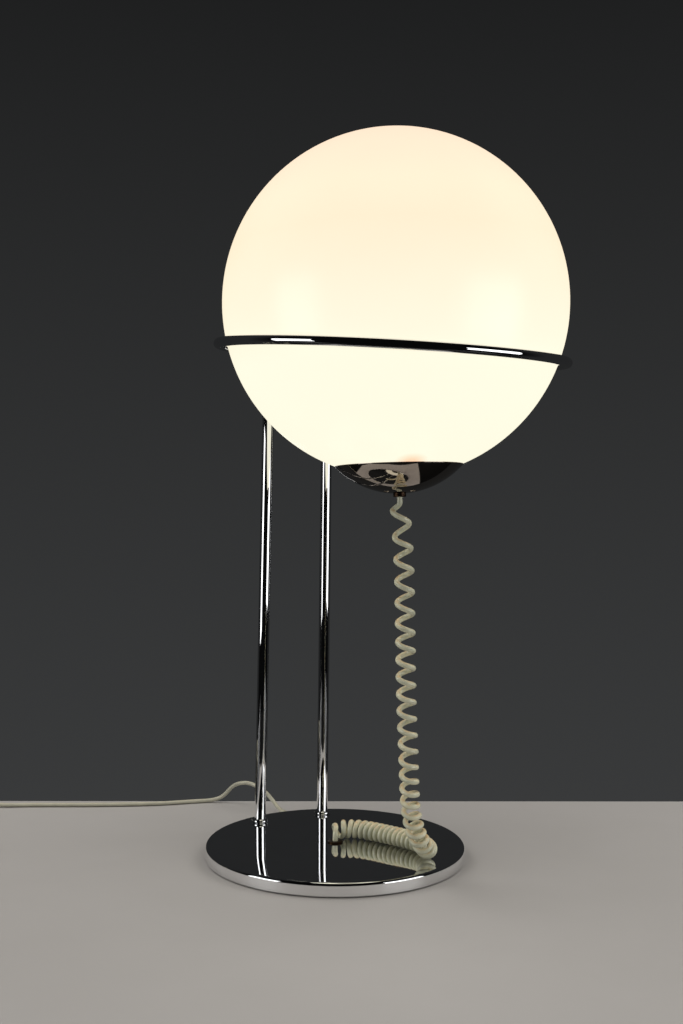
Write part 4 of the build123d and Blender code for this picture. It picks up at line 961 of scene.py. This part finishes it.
@dataclass
class Hoop(Assembly):
    """One bright rod: round the globe, out at the back and down into both tubes."""

    circle_steps: int = 220
    bend_steps: int = 18
    section_rounds: int = 7

    def make(self) -> None:
        """Bend the rod."""
        right, left = self.leg(1), self.leg(-1)
        places = right + self.circle(right[-1], left[-1]) + left[::-1]
        rod = spline("hoop_rod", places)
        thicken(rod, self.plan.hoop_rod, self.section_rounds)
        self.settle(as_mesh(rod), "stand", "chrome", "hoop")

    def leg(self, side: int) -> list[Vector]:
        """List one leg's places, from its end in the tube to where it joins the circle."""
        plan = self.plan
        foot, flat = plan.foot_seat(side), plan.hoop_seat
        up = foot.col[2].to_3d()
        corner = plan.corner(side)
        end = foot.translation + up * (plan.tube_length(side) - plan.hoop_engagement * MM)
        local = flat.inverted() @ corner / MM
        neck_x = local.x + side * plan.hoop_neck
        reach = plan.hoop_radius + plan.hoop_neck
        neck_y = math.sqrt(reach**2 - neck_x**2)
        last = math.degrees(math.atan2(-neck_y, -neck_x))
        first = 180.0 if side > 0 else 0.0
        sweep = (last - first + 180) % 360 - 180
        places = [end]
        places += self.fillet(end, corner, flat @ point(local.x, neck_y, 0), plan.hoop_bend * MM)
        for x, y in arc((neck_x, neck_y), plan.hoop_neck, first, first + sweep, self.bend_steps):
            places.append(flat @ point(x, y, 0))
        return places

    def fillet(self, start: Vector, corner: Vector, end: Vector, radius: float) -> list[Vector]:
        """Round a corner between two straight runs.

        Args:
            start: A place on the first run.
            corner: Where the runs would meet.
            end: A place on the second run.
            radius: The bend's radius in metres.

        Returns:
            Places along the bend.
        """
        back, ahead = (start - corner).normalized(), (end - corner).normalized()
        half = back.angle(ahead) / 2
        middle = corner + (back + ahead).normalized() * (radius / math.sin(half))
        a = corner + back * (radius / math.tan(half)) - middle
        b = corner + ahead * (radius / math.tan(half)) - middle
        whole = a.angle(b)
        places = []
        for k in range(self.bend_steps + 1):
            t = k / self.bend_steps
            share_a, share_b = math.sin((1 - t) * whole), math.sin(t * whole)
            places.append(middle + (a * share_a + b * share_b) / math.sin(whole))
        return places

    def circle(self, start: Vector, end: Vector) -> list[Vector]:
        """List the places of the long way round between the two legs, without its ends."""
        flat = self.plan.hoop_seat
        near, far = (flat.inverted() @ start), (flat.inverted() @ end)
        first = math.degrees(math.atan2(near.y, near.x))
        last = math.degrees(math.atan2(far.y, far.x))
        sweep = (last - first) % 360 - 360
        around = arc((0, 0), self.plan.hoop_radius, first, first + sweep, self.circle_steps)
        return [flat @ point(x, y, 0) for x, y in around[1:-1]]


@dataclass
class Globe(Assembly):
    """The opal globe, its cap with the vents, and the gland that the curly cord hangs from."""

    wall: float = 3.0
    mouth: float = 44.0
    cap_radius: float = 55.7
    cap_depth: float = 24.2
    cap_wall: float = 1.0
    cap_hole: float = 5.1
    cap_gap: float = 0.1
    vents: int = 4
    vent_radius: float = 2.5
    vent_circle: float = 16.0
    vent_turn: float = 15.0
    drill_length: float = 16.0
    drill_rise: float = 4.0
    flange_radius: float = 5.65
    flange_thickness: float = 0.8
    flange_chamfer: tuple[float, float] = (0.3, 0.25)
    nipple_bore: float = 3.7
    thread_radius: float = 5.0
    thread_root: float = 4.75
    thread_turns: int = 14
    thread_start: float = 0.4
    nipple_ends: tuple[float, float] = (1.2, 0.8)
    nipple_tip: float = 4.8
    gland_gap: float = 0.9
    gland_height: float = 1.9
    gland_bore: float = 2.5
    gland_beads: tuple[float, float] = (0.4, 0.6)
    gland_groove: tuple[float, float, float] = (1.0, 1.15, 1.3)
    gland_groove_depth: float = 0.25
    spigot: float = 3.6
    clip_groove: float = 3.1
    clip_drop: tuple[float, float] = (2.0, 1.2)
    neck_drop: float = 0.9
    # The cap's plating is painted darker and warm brown, for the dim warm reflections seen in it.
    cap_tint: Colour = (0.50, 0.44, 0.39)
    cap_dull: Colour = (0.36, 0.30, 0.25)

    def make(self) -> None:
        """Build what shows of the globe."""
        self.make_glass()
        self.make_cap()
        self.make_flange()
        self.make_gland()

    @property
    def dish(self) -> tuple[float, float]:
        """The cap's outer radius of curvature, and the height of its centre on the globe's axis."""
        curve = (self.cap_radius**2 + self.cap_depth**2) / (2 * self.cap_depth)
        inner = math.sqrt((curve - self.cap_wall) ** 2 - (curve - self.cap_depth) ** 2)
        rim = -math.sqrt(self.plan.globe_radius**2 - inner**2) - self.cap_gap
        return curve, rim + curve - self.cap_depth

    @property
    def cap_bottom(self) -> float:
        """The lowest height of the cap."""
        curve, centre = self.dish
        return centre - curve

    @property
    def gland_face(self) -> float:
        """The height of the gland's lower face."""
        return self.cap_bottom - self.gland_gap - self.gland_height

    def reach(self, node: str) -> float:
        """How high on the globe's axis a solid of the frame reaches, in millimetres."""
        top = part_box(node)[1]
        return (top - self.plan.globe_centre).dot(self.plan.globe_up) / MM

    def make_glass(self) -> None:
        """Turn the glass wall with its fire-polished lip."""
        r, w = self.plan.globe_radius, self.wall
        low = -math.degrees(math.acos(self.mouth / r))
        lip = math.degrees(w / 2 / r)
        middle = r - w / 2
        tilt = math.radians(low + lip)
        centre = (middle * math.cos(tilt), middle * math.sin(tilt))
        profile = arc((0, 0), r, 90, low + lip, 72)
        profile += arc(centre, w / 2, low + lip, low + lip - 180, 8)[1:-1]
        profile += arc((0, 0), r - w, low + lip, 90, 48)
        piece = lathe("opal_globe", profile, self.plan.globe_seat, 160, closed=False, edge=Edge.ROUND)
        self.settle(piece, "globe", "opal_glass", "glass_globe")

    def make_cap(self) -> None:
        """Turn the dish and drill its vents."""
        curve, centre = self.dish
        rim = math.degrees(math.asin(self.cap_radius / curve))
        start = math.degrees(math.asin(self.cap_hole / curve))
        profile = arc((0, centre), curve, start - 90, rim - 90, 40)
        lip_centre = curve - self.cap_wall / 2
        turn = math.radians(rim - 90)
        lip = (lip_centre * math.cos(turn), centre + lip_centre * math.sin(turn))
        profile += arc(lip, self.cap_wall / 2, rim - 90, rim + 90, 6)[1:-1]
        profile += arc((0, centre), curve - self.cap_wall, rim - 90, start - 90, 40)
        piece = lathe("cap_dish", profile, self.plan.globe_seat, 128)
        cutter = self.vent_cutter()
        cut = piece.modifiers.new("vents", "BOOLEAN")
        cut.object = cutter
        cut.operation = "DIFFERENCE"
        cut.solver = "EXACT"
        drilled = drawn_mesh(piece)
        piece.modifiers.clear()
        piece.data = drilled
        bpy.data.objects.remove(cutter)
        # Painted reflection: the cap's plating carries darker, warm brown colour in its own tint.
        reflection_tinted = Plated("painted_reflection_plating", self.cap_tint, self.cap_dull)
        self.settle(piece, "globe", "chrome", "cap", finish=reflection_tinted)

    def vent_cutter(self) -> bpy.types.Object:
        """Make the rods that drill the vents."""
        mesh = bmesh.new()
        height = self.cap_bottom + self.drill_rise
        around = arc((0, 0), self.vent_circle, self.vent_turn, self.vent_turn + 360, self.vents)
        for x, y in around[:-1]:
            bmesh.ops.create_cone(
                mesh,
                cap_ends=True,
                segments=32,
                radius1=self.vent_radius * MM,
                radius2=self.vent_radius * MM,
                depth=self.drill_length * MM,
                matrix=Matrix.Translation(point(x, y, height)),
            )
        return piece_from(mesh, "vent_drill", self.plan.globe_seat, Edge.CRISP)

    def make_flange(self) -> None:
        """Turn the threaded nipple, whose flange shows under the cap."""
        face, r, (inset, drop) = self.cap_bottom, self.flange_radius, self.flange_chamfer
        low = face - self.flange_thickness
        crest, root = self.thread_radius, self.thread_root
        profile = [(self.nipple_bore, low), (r - inset, low), (r, low + drop), (r, face), (crest, face)]
        for k in range(self.thread_turns):
            start = face + self.thread_start + k
            profile += [(crest, start), (root, start + 0.25), (root, start + 0.45), (crest, start + 0.7)]
        top = self.reach("threaded_nipple")
        last, end = self.nipple_ends
        profile = [spot for spot in profile if spot[1] < top - last]
        profile += [(self.nipple_tip, top - end), (self.nipple_bore, top - end)]
        piece = lathe("clamp_nipple", profile, self.plan.globe_seat, 48)
        self.settle(piece, "globe", "bronze", "threaded_nipple")

    def make_gland(self) -> None:
        """Turn the dark gland, with its rounded lower lip, its groove and its clip's groove."""
        bottom, r, bore = self.gland_face, self.flange_radius, self.gland_bore
        top, spigot, groove = bottom + self.gland_height, self.spigot, self.clip_groove
        inner, outer = self.gland_beads
        low, middle, high = (bottom + rise for rise in self.gland_groove)
        neck = self.reach("cord_bush") - self.neck_drop
        start, end = (neck - drop for drop in self.clip_drop)
        profile = arc((bore + inner, bottom + inner), inner, 180, 270, 4)
        profile += arc((r - outer, bottom + outer), outer, -90, 0, 5)
        profile += [(r, low), (r - self.gland_groove_depth, middle), (r, high), (r, top), (spigot, top)]
        profile += [(spigot, start), (groove, start), (groove, end), (spigot, end)]
        profile += [(spigot, neck), (bore, neck)]
        piece = lathe("cord_gland", profile, self.plan.globe_seat, 48)
        self.settle(piece, "swivel", "bronze", "cord_bush")


class Station(NamedTuple):
    """A place on a cord's middle line, in metres, with its directions to the viewer and to the left.

    The distance down the line is in millimetres, and the turns are counted in curls.
    """

    distance: float
    turns: float
    place: Vector
    near: Vector
    left: Vector


@dataclass
class CurlyCord(Assembly):
    """The curly cord: one ribbed sheath wound round a line from the gland to the eyelet."""

    wire: float = 4.8
    outer: float = 18.3
    ribs: int = 14
    rib_depth: float = 0.2
    first_curl: float = 6.0
    last_radius: float = 4.6
    closing_turns: float = 1.5
    per_turn: int = 24
    ease_steps: int = 10
    points_per_rib: int = 3
    hidden_top: float = 6.8
    end_height: float = 9.8
    still_below: Place = (8, -117, 70)
    toward_camera: Place = (-0.4425, -0.8966, 0.0)
    route: tuple[Place, ...] = (
        (1, -117, 327), (4, -118, 290), (6, -118, 221), (8, -117, 168), (12, -115, 120),
        (16, -110.6, 84), (21.3, -105.7, 60), (29.7, -102.5, 40), (41, -97.3, 27),
        (51.5, -86, 22.45), (54.7, -69, 22.45), (51.3, -56.7, 22.45), (47, -43, 22.45),
        (40, -27, 22.45), (32, -10, 22.45), (23.5, 1, 22.45), (15, 5.5, 22.45), (8, 7.5, 22.2),
        (-0.5, 5.5, 20.6),
    )
    pitches: tuple[Spot, ...] = (
        (0, 25.0), (28, 22.5), (40, 19.6), (95, 18.3), (128, 15.4), (175, 15.1), (200, 14.7),
        (225, 14.7), (240, 13.6), (252, 12.5), (262, 11.6), (285, 10.2), (312, 8.8), (330, 7.9),
        (352, 7.8), (368, 5.8), (400, 5.5), (425, 6.3), (450, 7.9),
    )

    def make(self, gland_face: float) -> None:
        """Wind the cord.

        Args:
            gland_face: The gland's lower face, as a height on the globe's axis in millimetres.
        """
        plan = self.plan
        start = plan.globe_centre + plan.globe_up * (gland_face + self.hidden_top) * MM
        out = plan.globe_centre + plan.globe_up * (gland_face - self.wire) * MM
        line = spline("curly_route", [out, *(point(*p) for p in self.route)], 3)
        walk = self.walk(points_along(line))
        bpy.data.objects.remove(line)
        places = [start, start.lerp(out, 0.5), out]
        curls = self.curls(walk)
        places += ease(out, -plan.globe_up, curls[0], curls[1] - curls[0], self.ease_steps)
        places += curls
        low = point(0, 0, plan.base_height + plan.eyelet_height + self.wire)
        places += ease(curls[-1], curls[-1] - curls[-2], low, -UP, self.ease_steps)
        places += [low, point(0, 0, self.end_height)]
        sheath = spline("curly_flex", places)
        ring = self.section()
        sheath.data.bevel_mode = "OBJECT"
        sheath.data.bevel_object = ring
        sheath.data.use_fill_caps = True
        sheath.data.twist_mode = "MINIMUM"
        piece = as_mesh(sheath)
        bpy.data.objects.remove(ring)
        self.finishes.put_on(piece, "curly_sheath")
        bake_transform(piece)
        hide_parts("curly_cord")
        run = run_length(places)
        log.info("curly cord: %.0f mm of wire, %d places", run / MM, len(places))
        self.pieces.append(piece)

    def pitch_at(self, distance: float) -> float:
        """The step from one curl to the next, at a distance along the line in millimetres."""
        for (s0, p0), (s1, p1) in zip(self.pitches, self.pitches[1:]):
            if distance <= s1:
                return p0 + (p1 - p0) * (distance - s0) / (s1 - s0)
        return self.pitches[-1][1]

    def walk(self, line: list[Vector]) -> list[Station]:
        """Walk down the line with directions that don't twist.

        Args:
            line: Places along the cord's middle line, in metres.

        Returns:
            A station for each place.
        """
        along = (line[1] - line[0]).normalized()
        near = Vector(self.toward_camera)
        near = (near - along * near.dot(along)).normalized()
        distance = turns = 0.0
        stations = []
        for k, place in enumerate(line):
            if k:
                step = place - line[k - 1]
                distance += step.length / MM
                turns += step.length / MM / self.pitch_at(distance)
                along = step.normalized()
                near = (near - along * near.dot(along)).normalized()
            stations.append(Station(distance, turns, place, near, along.cross(near)))
        return stations

    def curls(self, walk: list[Station]) -> list[Vector]:
        """List the places of the curls, from the first at the left to the last at its top.

        Args:
            walk: The stations down the middle line.

        Returns:
            Places on the sheath's own middle, in metres.
        """
        full = (self.outer - self.wire) / 2
        first = next(station.turns for station in walk if station.distance >= self.first_curl)
        last = walk[-1].turns
        places: list[Vector] = []
        turn, k = first, 0
        while turn <= last:
            while k < len(walk) - 2 and walk[k + 1].turns < turn:
                k += 1
            here, after = walk[k], walk[k + 1]
            share = (turn - here.turns) / (after.turns - here.turns)
            phase = math.tau * (turn - first)
            left, near = here.left.lerp(after.left, share), here.near.lerp(after.near, share)
            side = left * math.cos(phase) + near * math.sin(phase)
            closing = min(1, max(0, 1 - (last - turn) / self.closing_turns))
            radius = full + (self.last_radius - full) * closing
            places.append(here.place.lerp(after.place, share) + side * radius * MM)
            turn += 1 / self.per_turn
        # The last curl ends at its top: what rises after it goes first, then what falls from it.
        while places[-2].z <= places[-1].z:
            places.pop()
        while places[-2].z > places[-1].z:
            places.pop()
        return places

    def section(self) -> bpy.types.Object:
        """Draw the sheath's ribbed section."""
        data = bpy.data.curves.new("sheath_section", "CURVE")
        data.dimensions = "2D"
        line = data.splines.new("POLY")
        count = self.ribs * self.points_per_rib
        line.points.add(count - 1)
        for k, knot in enumerate(line.points):
            turn = math.tau * k / count
            groove = 0 if k % self.points_per_rib else self.rib_depth
            reach = (self.wire / 2 - groove) * MM
            knot.co = (reach * math.cos(turn), reach * math.sin(turn), 0, 1)
        line.use_cyclic_u = True
        line.use_smooth = True
        return new_object("sheath_section", data)


@dataclass
class MainsLead(Assembly):
    """The mains lead: from the rim along the table, through the switch, round the coil to the plug."""

    diameter: float = 4.2
    section_rounds: int = 5
    steps: int = 8
    coil_centre: Place = (-365.0, 281.0, 2.7)
    coil_outer: float = 32.9
    coil_pitch: float = 4.75
    coil_turns: float = 7.25
    coil_step: float = 4.7
    coil_points: int = 24
    front: tuple[Place, ...] = (
        (12.507, 142.954, 6.0), (13.553, 154.909, 6.0), (12.9, 168, 11.5), (8, 181, 21),
        (-2, 200, 27), (-12, 218, 21.5), (-19, 228, 7), (-29, 234, 2.1), (-50, 239.5, 2.1),
        (-84, 246, 2.1), (-122, 260, 2.1), (-167, 280, 2.1), (-211, 302, 2.1), (-241, 313.6, 2.2),
        (-259.97, 323.13, 5.0), (-283.28, 334.65, 5.0),
    )
    stretch: tuple[Place, ...] = (
        (-322.72, 354.15, 5.0), (-346.03, 365.67, 5.0), (-372, 367.5, 2.4), (-392, 353, 2.4),
        (-397.89, 330, 2.5), (-397.89, 308, 2.7),
    )
    tail: tuple[Place, ...] = (
        (-343, 248.1, 7.4), (-327, 236, 6.6), (-324, 217, 6.85), (-324, 168, 6.85),
    )

    def make(self) -> None:
        """Lay both lengths of the lead."""
        switch = ["switch_base", "switch_cover", "switch_screws", "switch_rocker", "switch_contacts"]
        plug = ["plug_body", "plug_pins", "plug_sleeve", "coil_tie"]
        first = self.lay("lead_to_switch", [point(*p) for p in self.front])
        self.settle(first, "stand", "lead_sheath", "mains_lead")
        self.declare(first, "fitting", "loose", switch)
        places = [point(*p) for p in self.stretch]
        places += self.coil() + [point(*p) for p in self.tail]
        second = self.lay("lead_to_plug", places)
        self.settle(second, "stand", "lead_sheath", "lead_stretch", "lead_coil", "lead_end")
        self.declare(second, "plug", "coiled", plug)

    def lay(self, name: str, places: list[Vector]) -> bpy.types.Object:
        """Draw one smooth length of the lead."""
        flex = spline(name, places, 3)
        thicken(flex, self.diameter / 2, self.section_rounds)
        flex.data.splines[0].resolution_u = self.steps
        return flex

    def declare(self, flex: bpy.types.Object, end: str, lay: str, carried: list[str]) -> None:
        """Say what the length is, from the length of its own middle line."""
        thin = flex.copy()
        thin.data = flex.data.copy()
        thin.data.bevel_depth = 0
        bpy.context.scene.collection.objects.link(thin)
        line = points_along(thin)
        bpy.data.objects.remove(thin)
        run = run_length(line)
        log.info("%s: %.0f mm", flex.name, run / MM)

    def coil(self) -> list[Vector]:
        """List the places that steer the coil, in and out again in two layers."""
        slant = math.degrees(math.atan(self.coil_pitch / (math.tau * self.coil_outer)))
        whole = self.coil_turns + 2 * slant / 360
        layer = (whole - 0.5) / 2
        inner = self.coil_outer - self.coil_pitch * layer
        swell = 1 / math.cos(math.pi / self.coil_points) ** 0.5
        count = round(whole * self.coil_points)
        places = []
        for k in range(count + 1):
            turns = whole * k / count
            back = turns - layer - 0.5
            if turns <= layer:
                radius, rise = self.coil_outer - self.coil_pitch * turns, 0.0
            elif back >= 0:
                radius, rise = inner + self.coil_pitch * back, 1.0
            else:
                share = (turns - layer) / 0.5
                radius = inner - self.coil_pitch * 0.5 * share * (1 - share)
                rise = share**2 * (3 - 2 * share)
            angle = math.radians(180 - slant + 360 * turns)
            x, y, z = self.coil_centre
            places.append(
                point(
                    x + radius * swell * math.cos(angle),
                    y + radius * swell * math.sin(angle),
                    z + self.coil_step * rise,
                )
            )
        return places


# ---------------------------------------------------------------- camera, light and table


@dataclass(frozen=True)
class Studio:
    """The camera at the photograph's angle, five soft panels, a pale table and a dark room."""

    camera_place: Place = (-584.08, -1117.16, 380.55)
    forward: Place = (0.4425, 0.8966, 0.0)
    turn_right: float = 0.0262
    pitch_down: float = 0.0413
    roll: float = 0.0075
    lens_mm: float = 46.93
    table_back: float = 203.0
    table_depth: float = 680.0
    table_width: float = 1100.0
    table_thickness: float = 40.0
    table_edge: float = 1.5
    table_gap: float = 0.2
    lit_place: Place = (0.0, -100.0, 420.0)
    side_panels: tuple[tuple[str, float, float], ...] = (
        ("left_panel", -66, 0.75),
        ("right_panel", 60, 1.05),
    )
    panel_distance: float = 1.5
    panel_drop: float = 0.02
    panel_height: float = 0.85
    panel_power: float = 5.2
    overhead_place: Spot = (0.45, 1.5)
    overhead_size: Spot = (1.1, 0.9)
    overhead_power: float = 12.0
    fill_place: Place = (-0.5, 1.2, 1.1)
    fill_size: Spot = (1.2, 1.2)
    fill_power: float = 15.0
    wall_tint: Colour = (0.97, 1.0, 1.02)
    wall_heights: Spot = (-0.3, 0.45)
    wall_low: float = 0.045
    wall_high: float = 0.0075
    mirrored_wall: float = 0.017
    mirrored_dark: float = 0.0025
    fill: float = 0.15

    def make(self) -> None:
        """Build the whole set."""
        self.make_camera()
        self.make_table()
        self.make_lights()
        self.make_world()

    @property
    def right(self) -> Vector:
        """The picture's right, level."""
        return Vector((self.forward[1], -self.forward[0], 0))

    def make_camera(self) -> None:
        """Aim the camera."""
        level = (Matrix.Rotation(-self.turn_right, 3, "Z") @ Vector(self.forward)).normalized()
        side = level.cross(UP).normalized()
        aim = (Matrix.Rotation(-self.pitch_down, 3, side) @ level).normalized()
        up = side.cross(aim).normalized()
        rolled_up = up * math.cos(self.roll) - side * math.sin(self.roll)
        rolled_side = side * math.cos(self.roll) + up * math.sin(self.roll)
        data = bpy.data.cameras.new("portrait")
        data.lens = self.lens_mm
        data.sensor_width = 36
        data.clip_start = 0.01
        camera = new_object("portrait", data)
        turn = Matrix((rolled_side, rolled_up, -aim)).transposed().to_4x4()
        camera.matrix_world = Matrix.Translation(point(*self.camera_place)) @ turn
        bpy.context.scene.camera = camera

    def make_table(self) -> None:
        """Lay the pale table, whose back edge crosses the picture behind the lamp."""
        mesh = bmesh.new()
        middle = Vector(self.forward) * (self.table_back - self.table_depth / 2) * MM
        middle -= UP * (self.table_thickness / 2 + self.table_gap) * MM
        size = point(self.table_width, self.table_depth, self.table_thickness)
        bmesh.ops.create_cube(mesh, size=1.0)
        bmesh.ops.scale(mesh, vec=size, verts=mesh.verts)
        bmesh.ops.bevel(
            mesh,
            geom=mesh.edges[:],
            offset=self.table_edge * MM,
            segments=3,
            profile=0.5,
            affect="EDGES",
            material=-1,
        )
        table = piece_from(mesh, "table", seat(middle, UP, self.right), Edge.CRISP)
        finish = Surface("pale_table", self.forward, tuple(self.right))
        table.data.materials.append(finish.build())

    def make_panel(
        self, name: str, away: Vector, size: Spot, power: float, mirrored: bool = False
    ) -> None:
        """Hang a soft panel that faces the globe.

        Args:
            name: The light's name.
            away: Where it stands, from a place under the globe's middle, in metres.
            size: Its width and height in metres.
            power: Its power in watts.
            mirrored: Whether mirrors see it.
        """
        data = bpy.data.lights.new(name, "AREA")
        data.shape = "RECTANGLE"
        data.size, data.size_y = size
        data.energy = power
        light = new_object(name, data)
        light.location = point(*self.lit_place) + away
        light.rotation_euler = (-away).to_track_quat("-Z", "Y").to_euler()
        light.visible_glossy = mirrored

    def make_lights(self) -> None:
        """Hang the two side panels that the tubes mirror, one overhead and two behind as fill."""
        back, right = -Vector(self.forward), self.right
        for name, degrees, width in self.side_panels:
            turn = math.radians(degrees)
            away = (back * math.cos(turn) + right * math.sin(turn)) * self.panel_distance
            size, power = (width, self.panel_height), self.panel_power * width
            self.make_panel(name, away - UP * self.panel_drop, size, power, mirrored=True)
        near, high = self.overhead_place
        self.make_panel("top_panel", back * near + UP * high, self.overhead_size, self.overhead_power)
        near, aside, high = self.fill_place
        for name, side in (("left_fill", -1), ("right_fill", 1)):
            away = back * near + right * side * aside + UP * high
            self.make_panel(name, away, self.fill_size, self.fill_power)

    def make_world(self) -> None:
        """Wrap the set in dark grey: lighter towards the table, and near black behind the viewer."""
        world = bpy.data.worlds.new("dark_studio")
        bpy.context.scene.world = world
        graph = Graph(world, "Background")
        way = graph.add("ShaderNodeTexCoord", {}, {}, "Generated")
        low, high = self.wall_heights
        steps = {"Value": graph.rise(way), "From Min": low, "From Max": high}
        steps |= {"To Min": self.wall_low, "To Max": self.wall_high}
        wall = graph.add("ShaderNodeMapRange", {}, steps)
        ahead = graph.along(way, self.forward).above(0.1, soft=0.4)
        mirrored = ahead * self.mirrored_wall + self.mirrored_dark
        seen, glossy = graph.ray("Is Camera Ray"), graph.ray("Is Glossy Ray")
        level = seen * wall + glossy * mirrored + (1 - seen - glossy) * self.fill
        tint = {0: self.wall_tint, "Scale": level}
        colour = graph.add("ShaderNodeVectorMath", {"operation": "SCALE"}, tint)
        graph.surface(Color=colour)


# ---------------------------------------------------------------- everything together


def dress_solids(frame: dict, finishes: Finishes) -> int:
    """Give each solid of the frame that still shows the finish of its slot.

    Args:
        finishes: The lamp's finishes.

    Returns:
        How many solids were dressed.
    """
    slots = {entry["node"]: entry["material_slot"] for entry in frame["record"]["subparts"]}
    count = 0
    for name, node in frame["nodes"].items():
        if not node.hide_render:
            finishes.put_on(node, slots[name])
            count += 1
    return count


def main() -> None:
    """Load the frame, build every sub-assembly and dress what is left."""
    logging.basicConfig(level=logging.INFO, format="%(name)s: %(message)s")
    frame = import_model()
    bpy.context.scene.view_settings.view_transform = "Standard"
    turn = next(joint for joint in frame["joints"] if joint["name"] == "globe_turn")
    plan = LampPlan(Vector(turn["pos_m"]), Vector(turn["axis"]).normalized())
    finishes = Finishes(plan)
    Studio().make()
    globe = Globe(plan, finishes)
    curly = CurlyCord(plan, finishes)
    curly.make(globe.gland_face)
    lead, base = MainsLead(plan, finishes), Base(plan, finishes)
    uprights, hoop = Uprights(plan, finishes), Hoop(plan, finishes)
    for part in (lead, base, uprights, hoop, globe):
        part.make()
    for part in (base, uprights, hoop, globe, curly, lead):
        for piece in part.pieces:
            log.info("%s: %s", type(part).__name__, piece.name)
    log.info("solids dressed: %d", dress_solids(frame, finishes))


if __name__ == "__main__":
    main()
